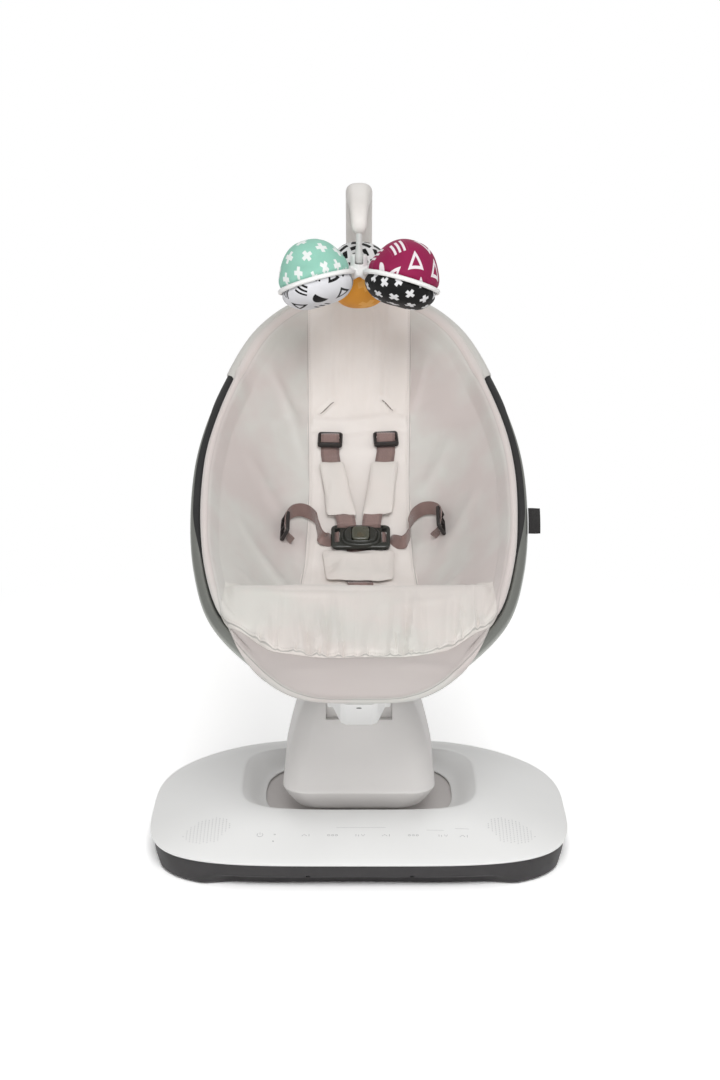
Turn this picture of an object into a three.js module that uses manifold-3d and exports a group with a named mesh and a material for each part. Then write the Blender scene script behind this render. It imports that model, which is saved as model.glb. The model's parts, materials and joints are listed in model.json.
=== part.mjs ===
// Motorised baby swing: a weighted base with a sway carriage, a lifting tower, a seat that reclines
// on a curved rail, and a toy bar with a turning mobile.
// Millimetres, +X to the baby's left as the seat is faced, +Y towards the head end, +Z up.
import * as THREE from 'three';
import { mergeVertices } from 'three/addons/utils/BufferGeometryUtils.js';
import Module from 'manifold-3d';

const wasm = await Module();
wasm.setup();

const { Vector2, Vector3, MathUtils } = THREE;
const degrees = MathUtils.degToRad;

// ---------------------------------------------------------------- driving dimensions
const TOUCH = 0.3;                 // gap kept between pieces that rest on each other
const RUN = 0.6;                   // running clearance of sliding and turning pieces

// base
const BASE_HALF_WIDTH = 247.5;
const BASE_FRONT = 190;            // reach of the outline in front of its own centre
const BASE_BACK = 212;             // reach of the outline behind its own centre
const BASE_CENTRE_Y = -20;
const BASE_FRONT_SQUARENESS = 4.2;
const BASE_BACK_SQUARENESS = 2.5;
const RIM_Z = 33;                  // widest line of the cover
const CREST_Z = 57;                // raised edge round the recess
const CREST_HALF_WIDTH = 141;
const CREST_HALF_DEPTH = 105;
const CREST_SQUARENESS = 4.2;
const MOUTH_Z = 38;                // opening in the floor of the recess
const MOUTH_HALF_WIDTH = 113;
const MOUTH_HALF_DEPTH = 98;
const MOUTH_SQUARENESS = 2.8;
const COVER_WALL = 2.5;
const PAN_BOTTOM_Z = 5;
const PAN_TOP_Z = 30;
const PAN_WALL = 3;
const PAN_REVEAL = 3;              // the pan stands back under the cover's rim
const PAN_DRAFT = 9;               // and leans in this much at its bottom
const FOOT_RADIUS = 17;
const FOOT_FRONT = [BASE_HALF_WIDTH - 51.5, BASE_CENTRE_Y - BASE_FRONT + 74];
const FOOT_BACK = [BASE_HALF_WIDTH - 79.5, BASE_CENTRE_Y + BASE_BACK - 84];
const ROD_RADIUS = 4;
const ROD_HALF_LENGTH = 134;
const ROD_Y = 62;
const ROD_Z = 17;
const ROD_POST = [12, 16];         // length along the rod, width across it
const SPEAKER_X = 179;
const SPEAKER_Y = -108;
const SPEAKER_RADIUS = 25;
const SPEAKER_DEPTH = 13;
const BOARD_SIZE = [230, 34, 1.6];
const BOARD_Y = -150;
const BOARD_Z = 24;
const INLET_RADIUS = 6;
const INLET_LENGTH = 16;
const INLET_Z = 18;

// sway carriage
const SWAY = 38;                   // travel each way from the middle
const PLATE_HALF = [76, 74];
const PLATE_Z = 24;
const PLATE_THICKNESS = 3;
const BUSH_X = 60;
const BUSH_SIZE = [20, 16];
const SHIELD_Z = 33.5;
const SHIELD_THICKNESS = 2;
const SHIELD_LAP = 4;              // the shield still covers the mouth by this much at full sway
const GEAR_MODULE = 1.5;
const GEAR_TEETH = 14;
const GEAR_WIDTH = 8;
const GEAR_BACKLASH = 0.3;
const SHAFT_RADIUS = 3;
const SWAY_GEAR_Y = -24;
const SWAY_GEAR_Z = 11.5;
const SWAY_MOTOR_RADIUS = 16;
const SWAY_MOTOR_LENGTH = 36;
const COLUMN_X = 50;
const COLUMN_RADIUS = 5;
const COLUMN_TOP = 149;
const SPRING_WIRE = 1.3;
const SPRING_TURNS = 7;

// lift
const LIFT = 38;                   // travel up from the lowest position
const NECK_HALF_WIDTH = 71.5;
const NECK_HALF_DEPTH = 52;
const NECK_SQUARENESS = 2.8;
const SLEEVE_WALL = 2.5;
const SLEEVE_TOP = 92;
const FRAME_Z = 98;
const FRAME_THICKNESS = 5;
const LIFT_GEAR_Y = 11.5;
const LIFT_GEAR_Z = 80;
const LIFT_MOTOR_RADIUS = 13;
const LIFT_MOTOR_LENGTH = 30;
const BRACKET_THICKNESS = 2.5;
const TOWER_WALL = 3;
// each row: height, half width, front, back, corner radius
const TOWER_SECTIONS = [
  [50, 75.5, -84, 76, 31],
  [60, 83, -90, 81, 31],
  [75, 90, -99, 86, 30],
  [77, 90, -97.5, 86, 29],
  [87, 89, -90, 85, 26],
  [103, 86, -82.5, 83, 24],
  [126, 80.5, -76, 80, 23],
  [149, 74, -70, 76, 22],
  [167, 67, -65, 74, 21],
  [192, 55, -56, 72, 20],
];

// recline rail: an arc about an axis across the swing
const RAIL_RADIUS = 367;           // underside of the keel
const RAIL_LOW_Z = 165;            // lowest point of the keel
const RAIL_CENTRE = [-48, RAIL_LOW_Z + RAIL_RADIUS]; // y, z
const RAIL_DEPTH = 26;
const RAIL_FLANGE_HALF = 35;
const RAIL_FLANGE_DEPTH = 6;
const RAIL_SHOULDER_HALF = 29.5;
const RAIL_CHINE_HALF = 20.5;
const RAIL_CHINE_DEPTH = 2.5;
const RAIL_KEEL_HALF = 14;
const RAIL_WALL = 3;
const RAIL_HEAD_ANGLE = 104;
const GUIDE_WALL = 3;
const GUIDE_FLOOR = 9;
const GUIDE_LIP = 4;
const GUIDE_ENDS = [-58.25, 67.85]; // y of the guide's ends, inside the tower's top
const KNOB_RADIUS = 20;
const KNOB_DEPTH = 16;
const KNOB_Z = 138;
const CAM_RADIUS = 7;              // from the shaft's axis to the top of the lobe
const CAM_THROW = 1;
const SHOE_Y = 50;
const SHOE_RADIUS = 6;

// seat ring and everything sewn to it, in the ring's own frame:
// u from the foot end to the head end, x across, n up out of the seat
const RING_FOOT_ANGLE = -41.035;   // round the rail's axis, from straight down
const RING_FOOT_RISE = 9.05;       // from the keel's line up to the tube's centre
const RING_HEAD_ANGLE = 101.8;
const RING_TUBE = 8;
const RING_SAG = 25;
const RING_LENGTH_NOMINAL = 657;
const RING_OUTLINE = [[8, 66], [60, 120], [120, 160], [200, 181], [300, 190], [400, 186], [500, 163],
  [600, 121], [648, 66]];          // u, half width
const BOWL_FLOOR = [[8, 15], [22, 9], [40, -18], [70, -50], [130, -78], [218, -112], [290, -132], [360, -126], [432, -106],
  [500, -82], [572, -52], [625, -25], [657, 0]];  // u, n along the middle of the seat
const BOWL_FLATNESS = 2.6;
const LINER_THICKNESS = 10;
const LINER_RIM_THICKNESS = 5;
const SLING_THICKNESS = 2;
const BACK_PANEL = { from: 285, to: 628, halfWidth: 62, thickness: 6 };
const BOLSTER_TOP = [[20, 9], [36, 17], [60, 15], [110, 2], [150, -8], [172, -16], [186, -32], [196, -58]];
const BOLSTER_HALF_WIDTH = 146;

// harness
const WEB_WIDTH = 22;
const WEB_THICKNESS = 1.5;
const ADJUSTER = { u: 482, length: 24, width: 31, height: 6.4, bar: 3 };
const BUCKLE = { u: 351, halfWidth: 36, halfLength: 17, height: 13 };
const SHOULDER_PAD = {
  from: BUCKLE.u + BUCKLE.halfLength + 20, to: ADJUSTER.u - ADJUSTER.length / 2 - 16, width: 33, thickness: 9,
};
const BUTTON = { halfWidth: 10, halfLength: 8.5, proud: 1.4, depth: 7, travel: 2.5 };
const CROTCH_PAD = { from: BACK_PANEL.from - 1, to: BUCKLE.u - BUCKLE.halfLength - 4, halfWidth: 41, thickness: 10 };
const WAIST_SLIDER = { u: BUCKLE.u + 9, x: 90, length: 36, width: 14, height: 5 };
const TAG = { u: 282, length: 42, width: 14, thickness: 1.2 };

// toy bar and mobile
const BAR_SOCKET_LENGTH = 24;
const BAR_SOCKET_HALF = [21, 16];
const BAR_PLUG_RADIUS = 8;
const BAR_DEPTH = 26;
const BAR_WIDTH = 33;
const MOBILE_Y = 134;
const BAR_HOOK_ANGLE = 122.8;      // round the rail's axis, where the stem starts to turn over
const BAR_HOOK_Z = 739;            // centre line of the hook's highest part
const BAR_TIP_Z = 702;
const PIN_TOP_Z = 710;
const PIN_BOTTOM_Z = 671;
const PIN_NECK_RADIUS = 3.4;
const PIN_BULB_RADIUS = 5.3;
const HUB_TOP_Z = 679;
const HUB_BOTTOM_Z = 655;
const HUB_RADIUS = 10.5;
const HOOP_RADIUS = 44.5;
const HOOP_WIRE = 3.1;
const TOY_RADIUS = 43.5;
const MIRROR_RADIUS = 13;
// each row: direction round the pin, reach of the toy's centre, height of the toy's centre
const TOYS = [
  ['toy_left', 210, 63, 660],
  ['toy_right', 330, 63, 660],
  ['toy_rear', 90, 57, 649],
];

// ---------------------------------------------------------------- finishes
const finish = (color, roughness, metalness = 0) => ({ color, roughness, metalness });
const FINISH = {
  shellWhite: finish(0xe8e8ea, 0.35),
  shellGrey: finish(0xc6c3c1, 0.45),
  shieldGrey: finish(0xa8a4a1, 0.5),
  panGrey: finish(0x444243, 0.55),
  rubber: finish(0x1c1c1c, 0.85),
  steel: finish(0xb8b8b8, 0.25, 1),
  tube: finish(0x96988f, 0.4, 0.6),
  gear: finish(0xded8c4, 0.5),
  board: finish(0x2c5a3a, 0.5),
  motor: finish(0x83868a, 0.35, 0.8),
  black: finish(0x221f1e, 0.5),
  fabric: finish(0xd6cec8, 0.85),
  sling: finish(0x1a1a1a, 0.9),
  webbing: finish(0x78625e, 0.7),
  buckle: finish(0x3c3e38, 0.4),
  mint: finish(0xa0d6c4, 0.85),
  magenta: finish(0xb02862, 0.85),
  orange: finish(0xde9634, 0.85),
  mirror: finish(0xdfe3e6, 0.05, 1),
  clear: finish(0xa9aaa6, 0.3),
};

const swing = new THREE.Group();

function addPiece(name, geometry, look, side = 1) {
  const mesh = new THREE.Mesh(geometry, new THREE.MeshStandardMaterial(look));
  mesh.name = name;
  mesh.scale.x = side;
  swing.add(mesh);
}

// ---------------------------------------------------------------- solids: cutting and joining
function toSolid(geometry) {
  const bare = geometry.index ? geometry.toNonIndexed() : geometry.clone();
  for (const name of Object.keys(bare.attributes)) {
    if (name !== 'position') bare.deleteAttribute(name);
  }
  const merged = mergeVertices(bare, 1e-4);
  return new wasm.Manifold(new wasm.Mesh({
    numProp: 3,
    vertProperties: Float32Array.from(merged.attributes.position.array),
    triVerts: Uint32Array.from(merged.index.array),
  }));
}

function toGeometry(solid) {
  const { vertProperties, triVerts } = solid.getMesh();
  const geometry = new THREE.BufferGeometry();
  geometry.setAttribute('position', new THREE.BufferAttribute(new Float32Array(vertProperties), 3));
  geometry.setIndex(Array.from(triVerts));
  geometry.computeVertexNormals();
  return geometry;
}

const join = (first, ...others) => toGeometry(others.reduce((sum, g) => sum.add(toSolid(g)), toSolid(first)));
const cut = (body, ...tools) => toGeometry(tools.reduce((rest, g) => rest.subtract(toSolid(g)), toSolid(body)));

// ---------------------------------------------------------------- solids: building blocks
function signedVolume(points, triangles) {
  let six = 0;
  for (const [a, b, c] of triangles) {
    six += points[a].dot(new Vector3().crossVectors(points[b], points[c]));
  }
  return six / 6;
}

function fromTriangles(points, triangles) {
  const inward = signedVolume(points, triangles) < 0;
  const geometry = new THREE.BufferGeometry().setFromPoints(points);
  geometry.setIndex(triangles.flatMap(([a, b, c]) => (inward ? [a, c, b] : [a, b, c])));
  geometry.computeVertexNormals();
  return geometry;
}

function skinBetween(rows, columns, closedRows) {
  const triangles = [];
  const lastRow = closedRows ? rows : rows - 1;
  for (let i = 0; i < lastRow; i++) {
    for (let j = 0; j < columns; j++) {
      const a = i * columns + j;
      const b = i * columns + (j + 1) % columns;
      const c = ((i + 1) % rows) * columns + j;
      const d = ((i + 1) % rows) * columns + (j + 1) % columns;
      triangles.push([a, b, d], [a, d, c]);
    }
  }
  return triangles;
}

// Solid through a stack of sections. A section is a flat outline and the rule that places it in space.
function loft(sections) {
  const columns = sections[0].outline.length;
  const points = sections.flatMap(({ outline, place }) => outline.map(place));
  const triangles = skinBetween(sections.length, columns, false);
  const capAt = (section, offset, turned) => {
    for (const [a, b, c] of THREE.ShapeUtils.triangulateShape(section.outline, [])) {
      triangles.push(turned ? [offset + a, offset + c, offset + b] : [offset + a, offset + b, offset + c]);
    }
  };
  const clockwise = THREE.ShapeUtils.isClockWise(sections[0].outline);
  capAt(sections[0], 0, !clockwise);
  capAt(sections.at(-1), (sections.length - 1) * columns, clockwise);
  return fromTriangles(points, triangles);
}

// Solid whose loops follow each other round a circuit, as in a tube bent into a ring.
function circuit(loops) {
  return fromTriangles(loops.flat(), skinBetween(loops.length, loops[0].length, true));
}

const atHeight = (z) => (p) => new Vector3(p.x, p.y, z);

function box(x0, x1, y0, y1, z0, z1) {
  return new THREE.BoxGeometry(x1 - x0, y1 - y0, z1 - z0)
    .translate((x0 + x1) / 2, (y0 + y1) / 2, (z0 + z1) / 2);
}

function rod(axis, radius, from, to, at, sides = 24) {
  const geometry = new THREE.CylinderGeometry(radius, radius, to - from, sides);
  const middle = (from + to) / 2;
  if (axis === 'x') return geometry.rotateZ(-Math.PI / 2).translate(middle, at[0], at[1]);
  if (axis === 'y') return geometry.translate(at[0], middle, at[1]);
  return geometry.rotateX(Math.PI / 2).translate(at[0], at[1], middle);
}

// Rounded outline |x/a|^e + |y/b|^e = 1, with its own reach and squareness at the front and the back.
function squircle(halfWidth, front, back, frontPower, backPower, centreY = 0, count = 48) {
  return Array.from({ length: count }, (_, i) => {
    const angle = (2 * Math.PI * i) / count;
    const c = Math.cos(angle);
    const s = Math.sin(angle);
    const power = 2 / (s < 0 ? frontPower : backPower);
    const reach = s < 0 ? front : back;
    return new Vector2(
      halfWidth * Math.sign(c) * Math.abs(c) ** power,
      centreY + reach * Math.sign(s) * Math.abs(s) ** power,
    );
  });
}

const evenSquircle = (a, b, power, count = 48) => squircle(a, b, b, power, power, 0, count);

function roundedBlock(halfWidth, front, back, radius, cornerSteps = 4) {
  const corners = [[1, back], [-1, back], [-1, front], [1, front]];
  return corners.flatMap(([side, edge], corner) => {
    const cx = side * (halfWidth - radius);
    const cy = edge - Math.sign(edge) * radius;
    return Array.from({ length: cornerSteps + 1 }, (_, i) => {
      const angle = (Math.PI / 2) * (corner + i / cornerSteps);
      return new Vector2(cx + radius * Math.cos(angle), cy + radius * Math.sin(angle));
    });
  });
}

const plate = (outline, z0, z1) => loft([{ outline, place: atHeight(z0) }, { outline, place: atHeight(z1) }]);

// Smooth curve through a few points (value at a place), with straight run-out past its ends.
function smoothThrough(points) {
  const slope = points.map((_, i) => {
    const [x0, y0] = points[Math.max(i - 1, 0)];
    const [x1, y1] = points[Math.min(i + 1, points.length - 1)];
    return (y1 - y0) / (x1 - x0);
  });
  return (x) => {
    let i = points.findIndex(([px]) => px >= x) - 1;
    if (i < 0) i = x <= points[0][0] ? 0 : points.length - 2;
    const [x0, y0] = points[i];
    const [x1, y1] = points[i + 1];
    const h = x1 - x0;
    const t = MathUtils.clamp((x - x0) / h, 0, 1);
    const t2 = t * t;
    const t3 = t2 * t;
    return (2 * t3 - 3 * t2 + 1) * y0 + (t3 - 2 * t2 + t) * h * slope[i]
      + (3 * t2 - 2 * t3) * y1 + (t3 - t2) * h * slope[i + 1];
  };
}

// ---------------------------------------------------------------- base
const rimOutline = (inset, count = 36) => squircle(BASE_HALF_WIDTH - inset, BASE_FRONT - inset, BASE_BACK - inset,
  BASE_FRONT_SQUARENESS, BASE_BACK_SQUARENESS, BASE_CENTRE_Y, count);

const COVER_COLUMNS = 44;
const crestOutline = evenSquircle(CREST_HALF_WIDTH, CREST_HALF_DEPTH, CREST_SQUARENESS, COVER_COLUMNS);
const mouthOutline = evenSquircle(MOUTH_HALF_WIDTH, MOUTH_HALF_DEPTH, MOUTH_SQUARENESS, COVER_COLUMNS);

// Height of the cover's top between the rim (0) and the crest (1): steep at the rim, flat at the crest.
const coverRise = (t) => RIM_Z + (CREST_Z - RIM_Z) * Math.sin((Math.PI / 2) * t) ** 0.85;

function makeCover() {
  const rim = rimOutline(0, COVER_COLUMNS);
  const between = (a, b, t, z) => new Vector3(MathUtils.lerp(a.x, b.x, t), MathUtils.lerp(a.y, b.y, t), z);
  const topSteps = [0, 0.04, 0.15, 0.35, 0.6, 0.85, 0.97];
  const undersideSteps = [0.97, 0.6, 0.3, 0.12];
  const loops = rim.map((edge, k) => {
    const crest = crestOutline[k];
    const mouth = mouthOutline[k];
    const top = topSteps.map((t) => between(edge, crest, t, coverRise(t)));
    const wall = [
      between(crest, mouth, 0, CREST_Z),
      between(crest, mouth, 0.22, CREST_Z - 4),
      between(crest, mouth, 0.75, MOUTH_Z + 3),
      between(crest, mouth, 1, MOUTH_Z),
      between(crest, mouth, 1, MOUTH_Z - 1.6),
      between(crest, mouth, 0.75, MOUTH_Z - 0.4),
      between(crest, mouth, 0.1, CREST_Z - 4 - COVER_WALL),
    ];
    const underside = undersideSteps.map((t) => between(edge, crest, t, coverRise(t) - COVER_WALL));
    const inner = COVER_WALL / BASE_HALF_WIDTH;
    const lip = [between(edge, new Vector2(0, BASE_CENTRE_Y), inner, PAN_TOP_Z + TOUCH),
      between(edge, new Vector2(0, BASE_CENTRE_Y), inner / 3, PAN_TOP_Z + TOUCH)];
    return [...top, ...wall, ...underside, ...lip];
  });
  return circuit(loops);
}

function makePan() {
  const outerTop = rimOutline(PAN_REVEAL);
  const outerBottom = rimOutline(PAN_REVEAL + PAN_DRAFT);
  const outer = loft([
    { outline: outerBottom, place: atHeight(PAN_BOTTOM_Z) },
    { outline: outerTop, place: atHeight(PAN_TOP_Z) },
  ]);
  const inner = loft([
    { outline: rimOutline(PAN_REVEAL + PAN_DRAFT + PAN_WALL), place: atHeight(PAN_BOTTOM_Z + PAN_WALL) },
    { outline: rimOutline(PAN_REVEAL + PAN_WALL), place: atHeight(PAN_TOP_Z + 1) },
  ]);
  const floor = PAN_BOTTOM_Z + PAN_WALL - 0.5;
  const posts = [-1, 1].flatMap((sx) => [-1, 1].map((sy) => {
    const x = sx * (ROD_HALF_LENGTH - ROD_POST[0] / 2);
    const y = sy * ROD_Y;
    return box(x - ROD_POST[0] / 2, x + ROD_POST[0] / 2, y - ROD_POST[1] / 2, y + ROD_POST[1] / 2,
      floor, ROD_Z + ROD_RADIUS + PAN_WALL);
  }));
  const boardPosts = [-1, 1].map((sx) => rod('z', 5, floor, BOARD_Z - TOUCH,
    [sx * (BOARD_SIZE[0] / 2 - 10), BOARD_Y], 12));
  const speakerSeats = [-1, 1].map((sx) => rod('z', SPEAKER_RADIUS * 0.6, floor, speakerBottom - TOUCH,
    [sx * SPEAKER_X, SPEAKER_Y], 16));
  const rackRib = box(-rackHalfLength, rackHalfLength, swayRackBack, swayRackBack + RACK_BACKING,
    floor, SWAY_GEAR_Z - TOUCH);
  const body = join(cut(outer, inner), ...posts, ...boardPosts, ...speakerSeats, rackRib);
  const rodHoles = [-1, 1].map((sy) => rod('x', ROD_RADIUS + TOUCH, -ROD_HALF_LENGTH - TOUCH,
    ROD_HALF_LENGTH + TOUCH, [sy * ROD_Y, ROD_Z]));
  const inletHole = rod('y', INLET_RADIUS + TOUCH, inletFront, inletFront + INLET_LENGTH * 2, [0, INLET_Z]);
  return cut(body, ...rodHoles, inletHole);
}

function makeSpeaker(side) {
  const r = SPEAKER_RADIUS;
  const profile = [[0, 0], [r * 0.5, 0], [r * 0.5, 5], [r * 0.95, SPEAKER_DEPTH - 3], [r, SPEAKER_DEPTH - 3],
    [r, SPEAKER_DEPTH], [r * 0.85, SPEAKER_DEPTH], [r * 0.3, SPEAKER_DEPTH - 5], [0, SPEAKER_DEPTH - 4]];
  return new THREE.LatheGeometry(profile.map(([x, y]) => new Vector2(x, y)), 24)
    .rotateX(Math.PI / 2)
    .translate(side * SPEAKER_X, SPEAKER_Y, speakerBottom);
}

function makeInlet() {
  const socket = rod('y', INLET_RADIUS, inletFront, inletFront + INLET_LENGTH, [0, INLET_Z], 20);
  const hole = rod('y', INLET_RADIUS / 2, inletFront + 4, inletFront + INLET_LENGTH + 1, [0, INLET_Z], 16);
  const pin = rod('y', 1, inletFront + 3, inletFront + INLET_LENGTH - 2, [0, INLET_Z], 10);
  return join(cut(socket, hole), pin);
}

// ---------------------------------------------------------------- gears and racks
const GEAR_PITCH_RADIUS = (GEAR_MODULE * GEAR_TEETH) / 2;
const PRESSURE_ANGLE = degrees(20);
const ADDENDUM = 0.8 * GEAR_MODULE;
const DEDENDUM = ADDENDUM + 0.25 * GEAR_MODULE;
const CIRCULAR_PITCH = Math.PI * GEAR_MODULE;
const RACK_BACKING = 7;
const rackLine = DEDENDUM + RACK_BACKING - 2;

function gearOutline() {
  const baseRadius = GEAR_PITCH_RADIUS * Math.cos(PRESSURE_ANGLE);
  const tip = GEAR_PITCH_RADIUS + ADDENDUM;
  const root = GEAR_PITCH_RADIUS - DEDENDUM;
  const roll = (r) => Math.sqrt(Math.max((r / baseRadius) ** 2 - 1, 0));
  const involute = (r) => roll(r) - Math.atan(roll(r));
  const halfTooth = (CIRCULAR_PITCH - GEAR_BACKLASH) / (4 * GEAR_PITCH_RADIUS) + involute(GEAR_PITCH_RADIUS);
  const flank = [root, baseRadius, GEAR_PITCH_RADIUS, tip];
  const outline = [];
  for (let tooth = 0; tooth < GEAR_TEETH; tooth++) {
    const middle = (2 * Math.PI * tooth) / GEAR_TEETH;
    const rise = flank.map((r) => [r, middle - halfTooth + involute(Math.max(r, baseRadius))]);
    const fall = [...rise].reverse().map(([r, angle]) => [r, 2 * middle - angle]);
    for (const [r, angle] of [...rise, ...fall]) {
      outline.push(new Vector2(r * Math.cos(angle), r * Math.sin(angle)));
    }
  }
  return outline;
}

function makePinion() {
  const shape = new THREE.Shape(gearOutline());
  shape.holes.push(new THREE.Path().absarc(0, 0, SHAFT_RADIUS + TOUCH, 0, 2 * Math.PI, true));
  return new THREE.ExtrudeGeometry(shape, { depth: GEAR_WIDTH, bevelEnabled: false, curveSegments: 12 });
}

// Straight rack along x with its teeth towards +y, the pitch line on y = 0 and a gap opposite the gear
// tooth that points at it; it runs from x0 to x1.
function makeRack(x0, x1) {
  const lean = Math.tan(PRESSURE_ANGLE);
  const halfTooth = (CIRCULAR_PITCH - GEAR_BACKLASH) / 4;
  const outline = [new Vector2(x0, -rackLine), new Vector2(x0, -DEDENDUM)];
  const first = Math.ceil((x0 + halfTooth * 2) / CIRCULAR_PITCH - 0.5);
  const last = Math.floor((x1 - halfTooth * 2) / CIRCULAR_PITCH - 0.5);
  for (let tooth = first; tooth <= last; tooth++) {
    const middle = (tooth + 0.5) * CIRCULAR_PITCH;
    const foot = halfTooth + DEDENDUM * lean;
    const crown = halfTooth - ADDENDUM * lean;
    outline.push(new Vector2(middle - foot, -DEDENDUM), new Vector2(middle - crown, ADDENDUM),
      new Vector2(middle + crown, ADDENDUM), new Vector2(middle + foot, -DEDENDUM));
  }
  outline.push(new Vector2(x1, -DEDENDUM), new Vector2(x1, -rackLine));
  return new THREE.ExtrudeGeometry(new THREE.Shape(outline), { depth: GEAR_WIDTH, bevelEnabled: false });
}

// ---------------------------------------------------------------- places that several pieces share
const speakerBottom = PAN_BOTTOM_Z + PAN_WALL + 2;
const inletFront = BASE_CENTRE_Y + BASE_BACK - PAN_REVEAL - PAN_DRAFT - INLET_LENGTH + 4;
const rackHalfLength = SWAY + 20;
const swayRackBack = SWAY_GEAR_Y - GEAR_PITCH_RADIUS - rackLine;
const plateTop = PLATE_Z + PLATE_THICKNESS;
const liftRackBottom = 33;

// ---------------------------------------------------------------- carriage
function makeCarriagePlate() {
  const [hx, hy] = PLATE_HALF;
  const base = plate(roundedBlock(hx, -hy, hy, 10, 3), PLATE_Z, plateTop);
  const bushes = [-1, 1].flatMap((sx) => [-1, 1].map((sy) => box(sx * BUSH_X - BUSH_SIZE[0] / 2,
    sx * BUSH_X + BUSH_SIZE[0] / 2, sy * ROD_Y - BUSH_SIZE[1] / 2, sy * ROD_Y + BUSH_SIZE[1] / 2,
    ROD_Z - ROD_RADIUS - 3, PLATE_Z + 0.5)));
  const posts = [-1, 1].flatMap((sx) => [-1, 1].map((sy) => rod('z', 4, plateTop - 0.5, SHIELD_Z - TOUCH,
    [sx * BUSH_X, sy * (hy - 6)], 12)));
  const bracketX = GEAR_WIDTH / 2 + 1.5;
  const bracket = box(bracketX, bracketX + BRACKET_THICKNESS, LIFT_GEAR_Y - LIFT_MOTOR_RADIUS,
    LIFT_GEAR_Y + LIFT_MOTOR_RADIUS, plateTop - 0.5, LIFT_GEAR_Z + LIFT_MOTOR_RADIUS);
  const rodHoles = [-1, 1].map((sy) => rod('x', ROD_RADIUS + TOUCH, -hx, hx, [sy * ROD_Y, ROD_Z]));
  const swayShaftHole = rod('z', SHAFT_RADIUS + 2, PLATE_Z - 1, plateTop + 1, [0, SWAY_GEAR_Y], 16);
  const liftShaftHole = rod('x', SHAFT_RADIUS + 2, bracketX - 1, bracketX + BRACKET_THICKNESS + 1,
    [LIFT_GEAR_Y, LIFT_GEAR_Z], 16);
  return cut(join(base, ...bushes, ...posts, bracket), ...rodHoles, swayShaftHole, liftShaftHole);
}

function makeShield() {
  const reach = MOUTH_HALF_WIDTH + SWAY + SHIELD_LAP;
  const outline = evenSquircle(reach, MOUTH_HALF_DEPTH + SHIELD_LAP * 2, 3.2, 40);
  const hole = evenSquircle(NECK_HALF_WIDTH + 1.5, NECK_HALF_DEPTH + 1.5, NECK_SQUARENESS, 40);
  return cut(plate(outline, SHIELD_Z, SHIELD_Z + SHIELD_THICKNESS), plate(hole, SHIELD_Z - 1,
    SHIELD_Z + SHIELD_THICKNESS + 1));
}

function tube(halfWidth, halfDepth, wall, z0, z1) {
  const outer = evenSquircle(halfWidth, halfDepth, NECK_SQUARENESS, 40);
  const inner = evenSquircle(halfWidth - wall, halfDepth - wall, NECK_SQUARENESS, 40);
  return cut(plate(outer, z0, z1), plate(inner, z0 - 1, z1 + 1));
}

const sleeveInset = SLEEVE_WALL + 1;

function makeSwayMotor() {
  const can = rod('z', SWAY_MOTOR_RADIUS, plateTop + TOUCH, plateTop + TOUCH + SWAY_MOTOR_LENGTH, [0, SWAY_GEAR_Y]);
  const shaft = rod('z', SHAFT_RADIUS, SWAY_GEAR_Z - 1, plateTop + 2, [0, SWAY_GEAR_Y], 12);
  return join(can, shaft);
}

function makeLiftMotor() {
  const face = GEAR_WIDTH / 2 + 1.5 + BRACKET_THICKNESS + TOUCH;
  const can = rod('x', LIFT_MOTOR_RADIUS, face, face + LIFT_MOTOR_LENGTH, [LIFT_GEAR_Y, LIFT_GEAR_Z]);
  const shaft = rod('x', SHAFT_RADIUS, -GEAR_WIDTH / 2 - 1, face + 2, [LIFT_GEAR_Y, LIFT_GEAR_Z], 12);
  return join(can, shaft);
}

function makeSpring(side) {
  const radius = COLUMN_RADIUS + SPRING_WIRE + RUN;
  const bottom = plateTop + TOUCH + SPRING_WIRE;
  const top = FRAME_Z - TOUCH - SPRING_WIRE;
  const steps = SPRING_TURNS * 9;
  const sections = Array.from({ length: steps + 1 }, (_, i) => {
    const angle = (2 * Math.PI * SPRING_TURNS * i) / steps;
    const z = MathUtils.lerp(bottom, top, i / steps);
    const outward = new Vector3(Math.cos(angle), Math.sin(angle), 0);
    const centre = outward.clone().multiplyScalar(radius).add(new Vector3(side * COLUMN_X, 0, z));
    return {
      outline: Array.from({ length: 4 }, (_, k) => new Vector2(SPRING_WIRE, 0)
        .rotateAround(new Vector2(), (2 * Math.PI * k) / 4)),
      place: (p) => centre.clone().addScaledVector(outward, p.x).add(new Vector3(0, 0, p.y)),
    };
  });
  return loft(sections);
}

// ---------------------------------------------------------------- lift and tower
const towerOutline = ([, w, front, back, r], inset) => roundedBlock(w - inset, front + inset, back - inset,
  Math.max(r - inset, 2));

function towerLoft(inset, extraBottom = 0) {
  return loft(TOWER_SECTIONS.map((row, i) => ({
    outline: towerOutline(row, inset),
    place: atHeight(row[0] - (i === 0 ? extraBottom : 0)),
  })));
}

// Row of the tower's table at any height, between its neighbours.
function towerAt(z) {
  const i = TOWER_SECTIONS.findIndex(([height]) => height >= z);
  const above = TOWER_SECTIONS[Math.max(i, 1)];
  const below = TOWER_SECTIONS[Math.max(i, 1) - 1];
  const t = (z - below[0]) / (above[0] - below[0]);
  return below.map((value, k) => MathUtils.lerp(value, above[k], t));
}

const slotHalf = RAIL_FLANGE_HALF + RUN + GUIDE_WALL + TOUCH;
const slotRadius = RAIL_RADIUS + RUN + GUIDE_FLOOR + TOUCH;
const cheekRadius = RAIL_RADIUS - RAIL_DEPTH - GUIDE_LIP + 12;

const drum = (radius, halfWidth) => rod('x', radius, -halfWidth, halfWidth, RAIL_CENTRE, 180);

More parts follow.
